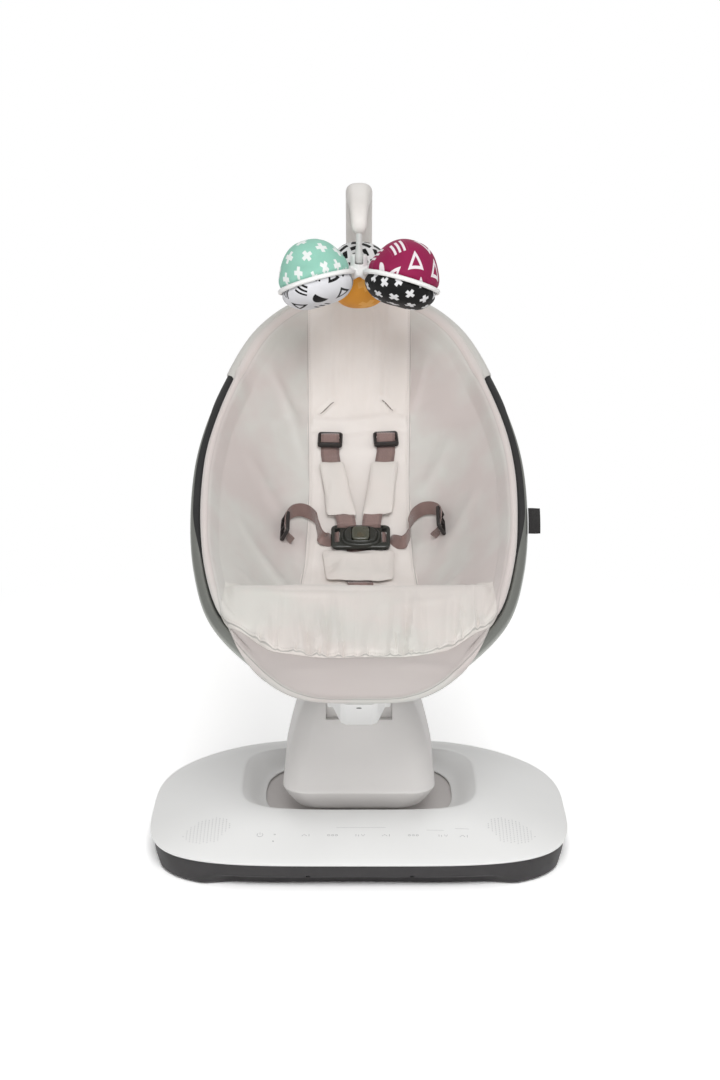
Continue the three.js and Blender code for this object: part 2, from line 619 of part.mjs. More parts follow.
function makeTowerShell() {
  const outerBody = cut(towerLoft(0), drum(slotRadius, slotHalf), drum(cheekRadius, BASE_HALF_WIDTH));
  const hollow = cut(towerLoft(TOWER_WALL, 1), drum(slotRadius + TOWER_WALL, slotHalf + TOWER_WALL),
    drum(cheekRadius + TOWER_WALL, BASE_HALF_WIDTH));
  const knobHole = rod('y', COLUMN_RADIUS + RUN, 0, 2 * BASE_BACK, [0, KNOB_Z], 20);
  const shoeHole = rod('z', SHOE_RADIUS + TOUCH, KNOB_Z, KNOB_Z + 60, [0, SHOE_Y], 20);
  return cut(outerBody, hollow, knobHole, shoeHole);
}

function makeNeck() {
  const seatZ = TOWER_SECTIONS[0][0] + 1;
  const flange = plate(towerOutline(towerAt(seatZ), TOWER_WALL + TOUCH + 0.3), seatZ, seatZ + 3);
  const skirt = plate(evenSquircle(NECK_HALF_WIDTH, NECK_HALF_DEPTH, NECK_SQUARENESS, 40),
    plateTop + 2, seatZ + 1);
  const bore = plate(evenSquircle(NECK_HALF_WIDTH - SLEEVE_WALL, NECK_HALF_DEPTH - SLEEVE_WALL,
    NECK_SQUARENESS, 40), plateTop, seatZ + 5);
  return cut(join(flange, skirt), bore);
}

function makeLiftFrame() {
  const outline = towerOutline(towerAt(FRAME_Z + FRAME_THICKNESS), TOWER_WALL + TOUCH + 0.3);
  const base = plate(outline, FRAME_Z, FRAME_Z + FRAME_THICKNESS);
  const bosses = [-1, 1].map((sx) => rod('z', COLUMN_RADIUS + 4, FRAME_Z + 1, FRAME_Z + 24, [sx * COLUMN_X, 0], 20));
  const pillars = [-1, 1].map((sy) => box(-26, 26, sy * 34 - 4, sy * 34 + 4, FRAME_Z + 1,
    pillarTop(sy * 34 - 4, sy * 34 + 4)));
  const holes = [-1, 1].map((sx) => rod('z', COLUMN_RADIUS + TOUCH, FRAME_Z - 5, FRAME_Z + 40, [sx * COLUMN_X, 0], 24));
  return cut(join(base, ...bosses, ...pillars), ...holes);
}

// Highest flat top that stays under the floor of the tower's slot between two places along y.
function pillarTop(y0, y1) {
  const under = (y) => RAIL_CENTRE[1] - Math.sqrt((slotRadius + TOWER_WALL) ** 2 - (y - RAIL_CENTRE[0]) ** 2);
  return Math.min(under(y0), under(y1)) - TOUCH;
}

// ---------------------------------------------------------------- recline rail and its guide
// A section point (x, radius) carried round the rail's axis to an angle from straight down.
const onArc = (angle) => (p) => new Vector3(p.x,
  RAIL_CENTRE[0] + p.y * Math.sin(degrees(angle)),
  RAIL_CENTRE[1] - p.y * Math.cos(degrees(angle)));

function sweepArc(outline, from, to, steps) {
  return loft(Array.from({ length: steps + 1 }, (_, i) => ({
    outline, place: onArc(MathUtils.lerp(from, to, i / steps)),
  })));
}

const mirrored = (half) => [...half, ...[...half].reverse().map(([x, y]) => [-x, y])]
  .map(([x, y]) => new Vector2(x, y));

const railTop = RAIL_RADIUS - RAIL_DEPTH;

// Open channel: outside line from the flange down to the keel, then the inside line back up.
const railSection = (() => {
  const outside = [[RAIL_FLANGE_HALF, railTop], [RAIL_FLANGE_HALF, railTop + RAIL_FLANGE_DEPTH],
    [RAIL_SHOULDER_HALF, railTop + RAIL_FLANGE_DEPTH], [RAIL_CHINE_HALF, RAIL_RADIUS - RAIL_CHINE_DEPTH],
    [RAIL_KEEL_HALF, RAIL_RADIUS]];
  const inside = [[RAIL_KEEL_HALF - 1, RAIL_RADIUS - RAIL_WALL],
    [RAIL_CHINE_HALF - RAIL_WALL, RAIL_RADIUS - RAIL_CHINE_DEPTH - RAIL_WALL],
    [RAIL_SHOULDER_HALF - RAIL_WALL, railTop + RAIL_FLANGE_DEPTH], [RAIL_SHOULDER_HALF - RAIL_WALL, railTop]];
  const right = outside.map(([x, y]) => new Vector2(x, y));
  const left = [...outside].reverse().map(([x, y]) => new Vector2(-x, y));
  const innerLeft = [...inside].reverse().map(([x, y]) => new Vector2(-x, y));
  const innerRight = inside.map(([x, y]) => new Vector2(x, y));
  return [...right, ...left, ...innerLeft, ...innerRight];
})();

const ringFootRadius = RAIL_RADIUS - RING_FOOT_RISE;
const railFootAngle = RING_FOOT_ANGLE + MathUtils.radToDeg((RING_TUBE + TOUCH + 0.2) / ringFootRadius);

function makeRail() {
  const steps = 28;
  return sweepArc(railSection, railFootAngle, RAIL_HEAD_ANGLE, steps);
}

function makeRailGuide() {
  const outerHalf = slotHalf - TOUCH;
  const floor = slotRadius - TOUCH;
  const lipTop = railTop - RUN - GUIDE_LIP;
  const outside = [[outerHalf, lipTop], [outerHalf, floor]];
  const keel = [[RAIL_KEEL_HALF, RAIL_RADIUS + RUN], [RAIL_CHINE_HALF + RUN, RAIL_RADIUS - RAIL_CHINE_DEPTH + RUN],
    [RAIL_SHOULDER_HALF + RUN, railTop + RAIL_FLANGE_DEPTH + RUN],
    [RAIL_FLANGE_HALF + RUN, railTop + RAIL_FLANGE_DEPTH + RUN], [RAIL_FLANGE_HALF + RUN, railTop - RUN],
    [RAIL_FLANGE_HALF - GUIDE_LIP, railTop - RUN], [RAIL_FLANGE_HALF - GUIDE_LIP, lipTop]];
  const right = outside.map(([x, y]) => new Vector2(x, y));
  const left = [...outside].reverse().map(([x, y]) => new Vector2(-x, y));
  const innerLeft = [...keel].reverse().map(([x, y]) => new Vector2(-x, y));
  const innerRight = keel.map(([x, y]) => new Vector2(x, y));
  const [from, to] = GUIDE_ENDS.map((y) => MathUtils.radToDeg(Math.asin((y - RAIL_CENTRE[0]) / RAIL_RADIUS)));
  const body = sweepArc([...right, ...left, ...innerLeft, ...innerRight], from, to, 8);
  const shoeHole = rod('z', SHOE_RADIUS + TOUCH, KNOB_Z, KNOB_Z + 60, [0, SHOE_Y], 20);
  return cut(body, shoeHole);
}

function makeShoe() {
  const keelAt = (y) => RAIL_CENTRE[1] - Math.sqrt(RAIL_RADIUS ** 2 - (y - RAIL_CENTRE[0]) ** 2);
  return rod('z', SHOE_RADIUS, KNOB_Z + CAM_RADIUS + TOUCH, keelAt(SHOE_Y - SHOE_RADIUS) - RUN, [0, SHOE_Y], 20);
}

function makeKnob() {
  const back = towerAt(KNOB_Z - KNOB_RADIUS)[3] + RUN;
  const lobes = 10;
  const outline = Array.from({ length: lobes * 6 }, (_, i) => {
    const angle = (2 * Math.PI * i) / (lobes * 6);
    const r = KNOB_RADIUS - 1.2 * (1 + Math.cos(lobes * angle));
    return new Vector2(r * Math.cos(angle), r * Math.sin(angle));
  });
  const across = (y, scale) => ({
    outline: outline.map((p) => p.clone().multiplyScalar(scale)),
    place: (p) => new Vector3(p.x, y, KNOB_Z + p.y),
  });
  const grip = loft([across(back, 0.9), across(back + 2, 1), across(back + KNOB_DEPTH - 3, 1),
    across(back + KNOB_DEPTH, 0.88)]);
  const shaft = rod('y', COLUMN_RADIUS, SHOE_Y - 2, back + 2, [0, KNOB_Z], 20);
  const cam = rod('y', CAM_RADIUS - CAM_THROW, SHOE_Y - SHOE_RADIUS, SHOE_Y + SHOE_RADIUS,
    [0, KNOB_Z + CAM_THROW], 20);
  return join(grip, shaft, cam);
}

// ---------------------------------------------------------------- seat: the ring's own frame
const arcPoint = (angle, radius) => onArc(angle)({ x: 0, y: radius });
const ringHead = arcPoint(RING_HEAD_ANGLE, railTop - RING_TUBE - TOUCH);
const ringFoot = arcPoint(RING_FOOT_ANGLE, ringFootRadius);
const ringLength = ringFoot.distanceTo(ringHead);
const along = ringHead.clone().sub(ringFoot).normalize();
const outOfSeat = new Vector3(0, -along.z, along.y);
const stretch = ringLength / RING_LENGTH_NOMINAL;

// Point of the seat from its place in the ring's frame.
function seatPoint(u, x, n) {
  return ringFoot.clone().addScaledVector(along, u).addScaledVector(outOfSeat, n).add(new Vector3(x, 0, 0));
}

const rimSag = (u) => -RING_SAG * 4 * (u / ringLength) * (1 - u / ringLength);
const ringCurve = new THREE.CatmullRomCurve3([
  new Vector3(0, 0, 0),
  ...RING_OUTLINE.map(([u, w]) => new Vector3(u * stretch, w, 0)),
  new Vector3(ringLength, 0, 0),
  ...[...RING_OUTLINE].reverse().map(([u, w]) => new Vector3(u * stretch, -w, 0)),
], true, 'centripetal');
const RING_STEPS = 64;
const ringPlan = Array.from({ length: RING_STEPS }, (_, i) => ringCurve.getPointAt(i / RING_STEPS));

// Half width of the ring's plan at u, pulled in from the tube's centre line by an inset.
function halfWidth(u, inset) {
  const side = [];
  for (let i = 0; i <= RING_STEPS / 2; i++) {
    const tangent = ringCurve.getTangentAt(Math.min(i / RING_STEPS, 0.5));
    side.push([ringPlan[i].x + inset * tangent.y, ringPlan[i].y - inset * tangent.x]);
  }
  const k = Math.max(side.findIndex(([su]) => su > u), 1);
  const [u0, w0] = side[k - 1];
  const [u1, w1] = side[k];
  return MathUtils.lerp(w0, w1, MathUtils.clamp((u - u0) / (u1 - u0), 0, 1));
}

const floorLine = smoothThrough(BOWL_FLOOR.map(([u, n]) => [u * stretch, n]));

// Height of the liner's top face over the ring's chord.
function bowl(u, x) {
  const share = Math.min(Math.abs(x) / halfWidth(u, 0), 1);
  return rimSag(u) + (floorLine(u) - rimSag(u)) * (1 - share ** BOWL_FLATNESS);
}

// Solid between two height rules over a patch of the seat: rows run along u, columns across.
function patch(stations, widthAt, topOf, bottomOf, columns) {
  const across = columns + 1;
  const layer = (heightOf) => stations.flatMap((u) => Array.from({ length: across }, (_, j) => {
    const x = widthAt(u) * ((2 * j) / columns - 1);
    return seatPoint(u, x, heightOf(u, x));
  }));
  const points = [...layer(topOf), ...layer(bottomOf)];
  const under = stations.length * across;
  const triangles = [];
  for (let i = 0; i + 1 < stations.length; i++) {
    for (let j = 0; j < columns; j++) {
      const a = i * across + j;
      const c = a + across;
      triangles.push([a, a + 1, c + 1], [a, c + 1, c]);
      triangles.push([under + a, under + c + 1, under + a + 1], [under + a, under + c, under + c + 1]);
    }
  }
  const corner = (stations.length - 1) * across;
  const border = [
    ...Array.from({ length: columns }, (_, j) => j),
    ...Array.from({ length: stations.length - 1 }, (_, i) => i * across + columns),
    ...Array.from({ length: columns }, (_, j) => corner + columns - j),
    ...Array.from({ length: stations.length - 1 }, (_, i) => corner - i * across),
  ];
  border.forEach((a, k) => {
    const b = border[(k + 1) % border.length];
    triangles.push([a, under + b, b], [a, under + a, under + b]);
  });
  return fromTriangles(points, triangles);
}

// Height of a patch's top between its own rows and columns, for the pieces that lie on it.
function faceOf(stations, widthAt, topOf, columns) {
  return (u, x) => {
    const i = MathUtils.clamp(stations.findIndex((s) => s > u) - 1, 0, stations.length - 2);
    const [u0, u1] = [stations[i], stations[i + 1]];
    const t = MathUtils.clamp((u - u0) / (u1 - u0), 0, 1);
    const width = MathUtils.lerp(widthAt(u0), widthAt(u1), t);
    const column = MathUtils.clamp((x / width + 1) / 2, 0, 1) * columns;
    const j = Math.min(Math.floor(column), columns - 1);
    const heightAt = (row, k) => topOf(row, widthAt(row) * ((2 * k) / columns - 1));
    const onRow = (row) => MathUtils.lerp(heightAt(row, j), heightAt(row, j + 1), column - j);
    return MathUtils.lerp(onRow(u0), onRow(u1), t);
  };
}

// Place on a face: a along the seat, b across it, h straight out of it.
function layOn(face, u, x) {
  const reach = 8;
  const at = (du, dx) => seatPoint(u + du, x + dx, face(u + du, x + dx));
  const ahead = at(reach, 0).sub(at(-reach, 0)).normalize();
  const out = new Vector3().crossVectors(at(0, reach).sub(at(0, -reach)), ahead).normalize();
  const sideways = new Vector3().crossVectors(ahead, out);
  const origin = at(0, 0);
  return {
    out,
    point: (a, b, h) => origin.clone().addScaledVector(ahead, a).addScaledVector(sideways, b)
      .addScaledVector(out, h),
  };
}

// Flat block on a face.
function blockOn(face, u, x, [a0, a1], [b0, b1], [h0, h1]) {
  const { point } = layOn(face, u, x);
  const outline = [new Vector2(a0, b0), new Vector2(a1, b0), new Vector2(a1, b1), new Vector2(a0, b1)];
  return loft([h0, h1].map((h) => ({ outline, place: (p) => point(p.x, p.y, h) })));
}

const stationsBetween = (from, to, count, ease = (t) => t) => Array.from({ length: count + 1 },
  (_, i) => MathUtils.lerp(from, to, ease(i / count)));
const easeEnds = (t) => 0.5 - 0.5 * Math.cos(Math.PI * t);

function makeRing() {
  const loops = ringPlan.map((p, i) => {
    const tangent = ringCurve.getTangentAt(i / RING_STEPS);
    const sideways = new Vector2(tangent.y, -tangent.x);
    return Array.from({ length: 8 }, (_, k) => {
      const angle = (2 * Math.PI * k) / 8;
      const reach = RING_TUBE * Math.cos(angle);
      return seatPoint(p.x + sideways.x * reach, p.y + sideways.y * reach,
        rimSag(p.x) + RING_TUBE * Math.sin(angle));
    });
  });
  return circuit(loops);
}

const linerInset = RING_TUBE + RUN;
const linerStations = stationsBetween(RING_TUBE + 6, ringLength - RING_TUBE - 6, 18, easeEnds);
const linerWidth = (u) => halfWidth(u, linerInset);
const linerDepth = (u, x) => MathUtils.lerp(LINER_THICKNESS, LINER_RIM_THICKNESS,
  (Math.abs(x) / linerWidth(u)) ** 2);
const linerBottom = (u, x) => bowl(u, x) - linerDepth(u, x);
const SEAT_COLUMNS = 12;

const makeLiner = () => patch(linerStations, linerWidth, bowl, linerBottom, SEAT_COLUMNS);
const makeSling = () => patch(linerStations, linerWidth, (u, x) => linerBottom(u, x) - TOUCH,
  (u, x) => linerBottom(u, x) - TOUCH - SLING_THICKNESS, SEAT_COLUMNS);

const LAID_ON = 0.8;               // soft pieces lie this far over the curved face below them
const linerFace = faceOf(linerStations, linerWidth, bowl, SEAT_COLUMNS);

const PANEL_COLUMNS = 8;
const panelStations = stationsBetween(BACK_PANEL.from, BACK_PANEL.to, 12);
const panelWidth = () => BACK_PANEL.halfWidth;
const panelBottom = (u, x) => linerFace(u, x) + LAID_ON;
const panelTop = (u, x) => panelBottom(u, x) + BACK_PANEL.thickness;
const panelFace = faceOf(panelStations, panelWidth, panelTop, PANEL_COLUMNS);
const makeBackPanel = () => patch(panelStations, panelWidth, panelTop, panelBottom, PANEL_COLUMNS);

function makeBolster() {
  const crown = smoothThrough(BOLSTER_TOP);
  const widthAt = (u) => Math.min(BOLSTER_HALF_WIDTH, linerWidth(u) - 6);
  const under = (u, x) => linerFace(u, x) + LAID_ON * 2;
  const droop = (u, x) => 1 - (Math.abs(x) / widthAt(u)) ** 4;
  const top = (u, x) => Math.max(under(u, x) + 4, MathUtils.lerp(rimSag(u) - 4, crown(u), droop(u, x)));
  return patch(stationsBetween(BOLSTER_TOP[0][0], BOLSTER_TOP.at(-1)[0], 12), widthAt, top, under, 12);
}

// Flat webbing along a route on a face: each point is u, x and its height over the face.
function webbing(face, route, width) {
  const places = route.map(([u, x, h]) => {
    const { point, out } = layOn(face, u, x);
    return { centre: point(0, 0, h), out };
  });
  const line = new THREE.CatmullRomCurve3(places.map(({ centre }) => centre), false, 'centripetal');
  const outline = [[-1, 0], [1, 0], [1, 1], [-1, 1]].map(([a, b]) => new Vector2(a * width / 2, b * WEB_THICKNESS));
  const steps = (route.length - 1) * 3;
  return loft(Array.from({ length: steps + 1 }, (_, i) => {
    const t = i / steps;
    const leg = Math.min(Math.floor(i / 3), route.length - 2);
    const centre = line.getPoint(t);
    const ahead = line.getTangent(t);
    const out = places[leg].out.clone().lerp(places[leg + 1].out, i / 3 - leg);
    const sideways = new Vector3().crossVectors(ahead, out).normalize();
    const up = new Vector3().crossVectors(sideways, ahead);
    return { outline, place: (q) => centre.clone().addScaledVector(sideways, q.x).addScaledVector(up, q.y) };
  }));
}

// ---------------------------------------------------------------- harness
const shoulderX = (u) => MathUtils.mapLinear(u, ADJUSTER.u, BUCKLE.u, 35, 17);
const WEB_LIFT = 0.9;              // webbing rides this far over the face below it
const buckleFloor = panelFace(BUCKLE.u, 0) + 3.4;
const buckleTop = buckleFloor + BUCKLE.height;

function makeShoulderStrap() {
  const end = BUCKLE.u + BUCKLE.halfLength + RUN;
  const { from, to } = SHOULDER_PAD;
  const onPanel = [ADJUSTER.u + 30, ADJUSTER.u + 12, ADJUSTER.u - 12, to - 4, (from + to) / 2 - 3, from + 2]
    .map((u) => [u, shoulderX(u), WEB_LIFT]);
  return webbing(panelFace, [...onPanel, [end, shoulderX(end), 4.5]], WEB_WIDTH);
}

function makeShoulderPad() {
  const { from, to, width, thickness } = SHOULDER_PAD;
  const middle = (from + to) / 2;
  const length = to - from;
  const { point } = layOn(panelFace, middle, shoulderX(middle));
  const turn = (shoulderX(to) - shoulderX(from)) / length;
  const layer = (scale, h) => ({
    outline: evenSquircle((length / 2) * scale, (width / 2) * scale, 5, 20),
    place: (p) => point(p.x, p.y + turn * p.x, h),
  });
  const floor = WEB_LIFT + WEB_THICKNESS + 1.6;
  return loft([layer(0.94, floor), layer(1, floor + 2), layer(1, floor + thickness - 3),
    layer(0.88, floor + thickness)]);
}

// Three-bar adjuster with the webbing through it, lying on the back panel.
function makeAdjuster() {
  const { u, length, width, height, bar } = ADJUSTER;
  const x = shoulderX(u);
  const half = length / 2;
  const throat = WEB_WIDTH / 2 + 2.3;
  const slab = (a, b, h) => blockOn(panelFace, u, x, a, b, h);
  const ceiling = WEB_LIFT + WEB_THICKNESS + 1.2;
  const frame = slab([-half, half], [-width / 2, width / 2], [0.7, height]);
  return cut(frame,
    slab([-half - 1, half + 1], [-throat, throat], [-1, ceiling]),
    slab([-half + bar, half - bar], [-throat, throat], [ceiling - 1, height + 1]));
}

// Upright block in the ring's frame.
function seatBlock([u0, u1], [x0, x1], [n0, n1]) {
  const outline = [new Vector2(u0, x0), new Vector2(u1, x0), new Vector2(u1, x1), new Vector2(u0, x1)];
  return loft([n0, n1].map((n) => ({ outline, place: (p) => seatPoint(p.x, p.y, n) })));
}

function makeBuckleBody() {
  const { u, halfWidth: hw, halfLength: hl, height } = BUCKLE;
  const layer = (scale, n) => ({
    outline: evenSquircle(hl * scale, hw * scale, 3.4, 28),
    place: (p) => seatPoint(u + p.x, p.y, buckleFloor + n),
  });
  const body = loft([layer(0.93, 0), layer(1, 2), layer(1, height - 5), layer(0.86, height)]);
  const { halfLength, halfWidth: buttonHalf, depth, travel } = BUTTON;
  const pocket = seatBlock([u - halfLength - TOUCH, u + halfLength + TOUCH],
    [-buttonHalf - TOUCH, buttonHalf + TOUCH], [buckleTop - depth - travel - TOUCH, buckleTop + 5]);
  const windows = [[-hw + 4, -hw + 9], [hw - 9, hw - 4]]
    .map((sides) => seatBlock([u - 8, u + 8], sides, [buckleFloor + 5, buckleTop + 5]));
  return cut(body, pocket, ...windows);
}

function makeButton() {
  const layer = (scale, n) => ({
    outline: evenSquircle(BUTTON.halfLength * scale, BUTTON.halfWidth * scale, 5, 24),
    place: (p) => seatPoint(BUCKLE.u + p.x, p.y, n),
  });
  const top = buckleTop + BUTTON.proud;
  return loft([layer(1, buckleTop - BUTTON.depth), layer(1, top - 1), layer(0.88, top)]);
}

const crotchWeb = WEB_LIFT + WEB_THICKNESS + 0.6;

function makeCrotchPad() {
  const { from, to, halfWidth: hw, thickness } = CROTCH_PAD;
  const base = (u, x) => panelFace(u, x) + crotchWeb;
  return patch(stationsBetween(from, to, 5), (u) => hw * MathUtils.mapLinear(u, from, to, 0.9, 1),
    (u, x) => base(u, x) + thickness * (1 - 0.4 * (x / hw) ** 2), base, 8);
}

function makeCrotchStrap() {
  const end = BUCKLE.u - BUCKLE.halfLength - RUN;
  const start = BACK_PANEL.from + 3;
  return webbing(panelFace, [[start, 0, WEB_LIFT], [(start + end) / 2, 0, WEB_LIFT], [end, 0, WEB_LIFT]],
    WEB_WIDTH + 5);
}

// Waist webbing: out of the buckle's side, over a free hump and down to its slider on the side panel.
function makeWaistStrap() {
  const start = BUCKLE.halfWidth + 3;
  const out = WAIST_SLIDER.x - 4;
  return webbing(linerFace, [[BUCKLE.u, start, 13], [BUCKLE.u, start + 5, 15], [BUCKLE.u + 10, 54, 26],
    [BUCKLE.u + 14, 66, 27], [BUCKLE.u + 12, 78, 15], [WAIST_SLIDER.u, out, 5]], 18);
}

function makeWaistSlider() {
  const { u, x, length, width, height } = WAIST_SLIDER;
  return blockOn(linerFace, u, x + width / 2, [-length / 2, length / 2], [-width / 2, width / 2],
    [LAID_ON + 0.8, LAID_ON + 0.8 + height]);
}

function makeTag() {
  const { u, length, width, thickness } = TAG;
  const x = Math.max(halfWidth(u - length / 2, 0), halfWidth(u + length / 2, 0)) + RING_TUBE + TOUCH;
  return seatBlock([u - length / 2, u + length / 2], [x, x + width], [rimSag(u), rimSag(u) + thickness]);
}

// ---------------------------------------------------------------- toy bar and mobile
const barRadius = RAIL_RADIUS - RAIL_DEPTH / 2;
const socketBase = arcPoint(RAIL_HEAD_ANGLE, barRadius);
const barAxis = new Vector3(0, Math.cos(degrees(RAIL_HEAD_ANGLE)), Math.sin(degrees(RAIL_HEAD_ANGLE)));
const barFront = new Vector3(0, -barAxis.z, barAxis.y);

const onBarAxis = (distance) => (p) => socketBase.clone().addScaledVector(barAxis, distance)
  .add(new Vector3(p.x, 0, 0)).addScaledVector(barFront, p.y);

function makeBarSocket() {
  const [hx, hy] = BAR_SOCKET_HALF;
  const outline = roundedBlock(hx, -hy, hy, 8, 4);
  const hole = evenSquircle(BAR_PLUG_RADIUS + TOUCH, BAR_PLUG_RADIUS + TOUCH, 2, 24);
  const top = TOUCH + BAR_SOCKET_LENGTH;
  return cut(loft([{ outline, place: onBarAxis(TOUCH) }, { outline, place: onBarAxis(top) }]),
    loft([{ outline: hole, place: onBarAxis(TOUCH + 3) }, { outline: hole, place: onBarAxis(top + 1) }]));
}

// Bar: round plug, stem on the rail's own arc, then a hook that narrows to a rounded tip.
function makeToyBar() {
  const stemStart = TOUCH * 2 + BAR_SOCKET_LENGTH;
  const plug = evenSquircle(BAR_PLUG_RADIUS, BAR_PLUG_RADIUS, 2, 16);
  const plugBody = loft([{ outline: plug, place: onBarAxis(TOUCH * 2 + 3) },
    { outline: plug, place: onBarAxis(stemStart + 2) }]);
  const route = new THREE.CatmullRomCurve3([
    onBarAxis(stemStart)(new Vector2()),
    arcPoint(112, barRadius),
    arcPoint(117, barRadius),
    arcPoint(BAR_HOOK_ANGLE, barRadius - 3.1),
    new Vector3(0, MOBILE_Y + 81, BAR_HOOK_Z),
    new Vector3(0, MOBILE_Y + 44, BAR_HOOK_Z - 1),
    new Vector3(0, MOBILE_Y + 16, BAR_HOOK_Z - 10),
    new Vector3(0, MOBILE_Y + 2.5, BAR_TIP_Z + 14),
    new Vector3(0, MOBILE_Y, BAR_TIP_Z),
  ], false, 'centripetal');
  const steps = 22;
  const sections = Array.from({ length: steps + 1 }, (_, i) => {
    const t = i / steps;
    const p = route.getPointAt(t);
    const tangent = i === 0 ? barAxis : route.getTangentAt(t);
    const front = new Vector3(0, -tangent.z, tangent.y);
    const taper = MathUtils.smoothstep(t, 0.5, 0.98);
    const endRound = Math.sqrt(1 - MathUtils.clamp((t - 0.94) / 0.065, 0, 1) ** 2);
    const hw = MathUtils.lerp(BAR_WIDTH / 2, 9.5, taper) * endRound;
    const hd = MathUtils.lerp(BAR_DEPTH / 2, 8, taper) * endRound;
    return {
      outline: evenSquircle(hw, hd, 2.9, 16),
      place: (q) => p.clone().add(new Vector3(q.x, 0, 0)).addScaledVector(front, q.y),
    };
  });
  const bore = rod('z', PIN_NECK_RADIUS + TOUCH, PIN_BOTTOM_Z, PIN_TOP_Z + TOUCH, [0, MOBILE_Y], 16);
  return cut(join(loft(sections), plugBody), bore);
}

function makeMobilePin() {
  const r = PIN_NECK_RADIUS;
  const b = PIN_BULB_RADIUS;
  const z0 = PIN_BOTTOM_Z;
  const profile = [[0, z0], [b - 1, z0], [b, z0 + 2], [b, z0 + 9], [r, z0 + 15], [r, PIN_TOP_Z], [0, PIN_TOP_Z]];
  return new THREE.LatheGeometry(profile.map(([x, z]) => new Vector2(x, z)), 20)
    .rotateX(Math.PI / 2).translate(0, MOBILE_Y, 0);
}

const toyPlace = ([, direction, reach, z]) => new Vector3(reach * Math.cos(degrees(direction)),
  MOBILE_Y + reach * Math.sin(degrees(direction)), z);

// Hoop round a toy: it leaves the hub at the hub's height and leans down to the toy's centre.
function placeOnHoop(toy) {
  const centre = toyPlace(toy);
  const lean = Math.asin((hubHeight - centre.z) / HOOP_RADIUS);
  return new THREE.Matrix4().makeTranslation(centre.x, centre.y, centre.z)
    .multiply(new THREE.Matrix4().makeRotationZ(degrees(toy[1])))
    .multiply(new THREE.Matrix4().makeRotationY(lean));
}

const hubHeight = HUB_BOTTOM_Z + 12;

function makeMobileFrame() {
  const profile = [[0, HUB_BOTTOM_Z], [HUB_RADIUS - 2, HUB_BOTTOM_Z], [HUB_RADIUS, HUB_BOTTOM_Z + 3],
    [HUB_RADIUS, HUB_TOP_Z - 3], [HUB_RADIUS - 2, HUB_TOP_Z], [0, HUB_TOP_Z]];
  const hub = new THREE.LatheGeometry(profile.map(([x, z]) => new Vector2(x, z)), 24)
    .rotateX(Math.PI / 2).translate(0, MOBILE_Y, 0);
  const hoops = TOYS.map((toy) => new THREE.TorusGeometry(HOOP_RADIUS, HOOP_WIRE, 6, 20)
    .applyMatrix4(placeOnHoop(toy)));
  const arms = TOYS.map(([, direction, reach]) => new THREE.CylinderGeometry(HOOP_WIRE + 1, HOOP_WIRE + 1.6,
    reach - HOOP_RADIUS + 1, 8)
    .rotateZ(Math.PI / 2).translate((reach - HOOP_RADIUS + 1) / 2, 0, 0).rotateZ(degrees(direction))
    .translate(0, MOBILE_Y, hubHeight));
  const socket = rod('z', PIN_BULB_RADIUS + TOUCH, PIN_BOTTOM_Z - TOUCH, HUB_TOP_Z + 1, [0, MOBILE_Y], 20);
  return cut(join(hub, ...hoops, ...arms), socket);
}

// Stuffed ball gripped at its waist by the hoop.
function makeToy(toy) {
  const place = placeOnHoop(toy);
  const ball = new THREE.SphereGeometry(TOY_RADIUS, 16, 10).rotateX(Math.PI / 2).applyMatrix4(place);
  const groove = new THREE.TorusGeometry(HOOP_RADIUS, HOOP_WIRE + RUN, 6, 20).applyMatrix4(place);
  const armGroove = rod('z', HUB_RADIUS + RUN, HUB_BOTTOM_Z - 1, HUB_TOP_Z + 1, [0, MOBILE_Y], 20);
  const trimmed = cut(ball, groove, armGroove);
  if (toy[0] !== 'toy_rear') return trimmed;
  return cut(trimmed, mirrorDisc(RUN));
}

// Mirror let into the underside of the rear toy.
function mirrorDisc(margin) {
  const rear = TOYS[2];
  return new THREE.CylinderGeometry(MIRROR_RADIUS + margin, MIRROR_RADIUS + margin, 4 + margin, 24)
    .translate(0, -TOY_RADIUS + 2 + margin / 2, 0)
    .rotateX(degrees(62)).applyMatrix4(new THREE.Matrix4().makeTranslation(...toyPlace(rear).toArray()));
}

// ---------------------------------------------------------------- assembly
addPiece('base_pan', makePan(), FINISH.panGrey);
addPiece('base_cover', makeCover(), FINISH.shellWhite);
for (const [name, sx, [x, y]] of [['foot_front_left', -1, FOOT_FRONT], ['foot_front_right', 1, FOOT_FRONT],
  ['foot_back_left', -1, FOOT_BACK], ['foot_back_right', 1, FOOT_BACK]]) {
  addPiece(name, rod('z', FOOT_RADIUS, 0, PAN_BOTTOM_Z - TOUCH, [sx * x, y], 20), FINISH.rubber);
}
addPiece('control_board', box(-BOARD_SIZE[0] / 2, BOARD_SIZE[0] / 2, BOARD_Y - BOARD_SIZE[1] / 2,
  BOARD_Y + BOARD_SIZE[1] / 2, BOARD_Z, BOARD_Z + BOARD_SIZE[2]), FINISH.board);
addPiece('speaker_left', makeSpeaker(-1), FINISH.black);
addPiece('speaker_right', makeSpeaker(1), FINISH.black);
addPiece('power_inlet', makeInlet(), FINISH.black);
addPiece('sway_rod_front', rod('x', ROD_RADIUS, -ROD_HALF_LENGTH, ROD_HALF_LENGTH, [-ROD_Y, ROD_Z], 16), FINISH.steel);
addPiece('sway_rod_rear', rod('x', ROD_RADIUS, -ROD_HALF_LENGTH, ROD_HALF_LENGTH, [ROD_Y, ROD_Z], 16), FINISH.steel);
addPiece('sway_rack', makeRack(-rackHalfLength, rackHalfLength)
  .translate(0, SWAY_GEAR_Y - GEAR_PITCH_RADIUS, SWAY_GEAR_Z), FINISH.gear);

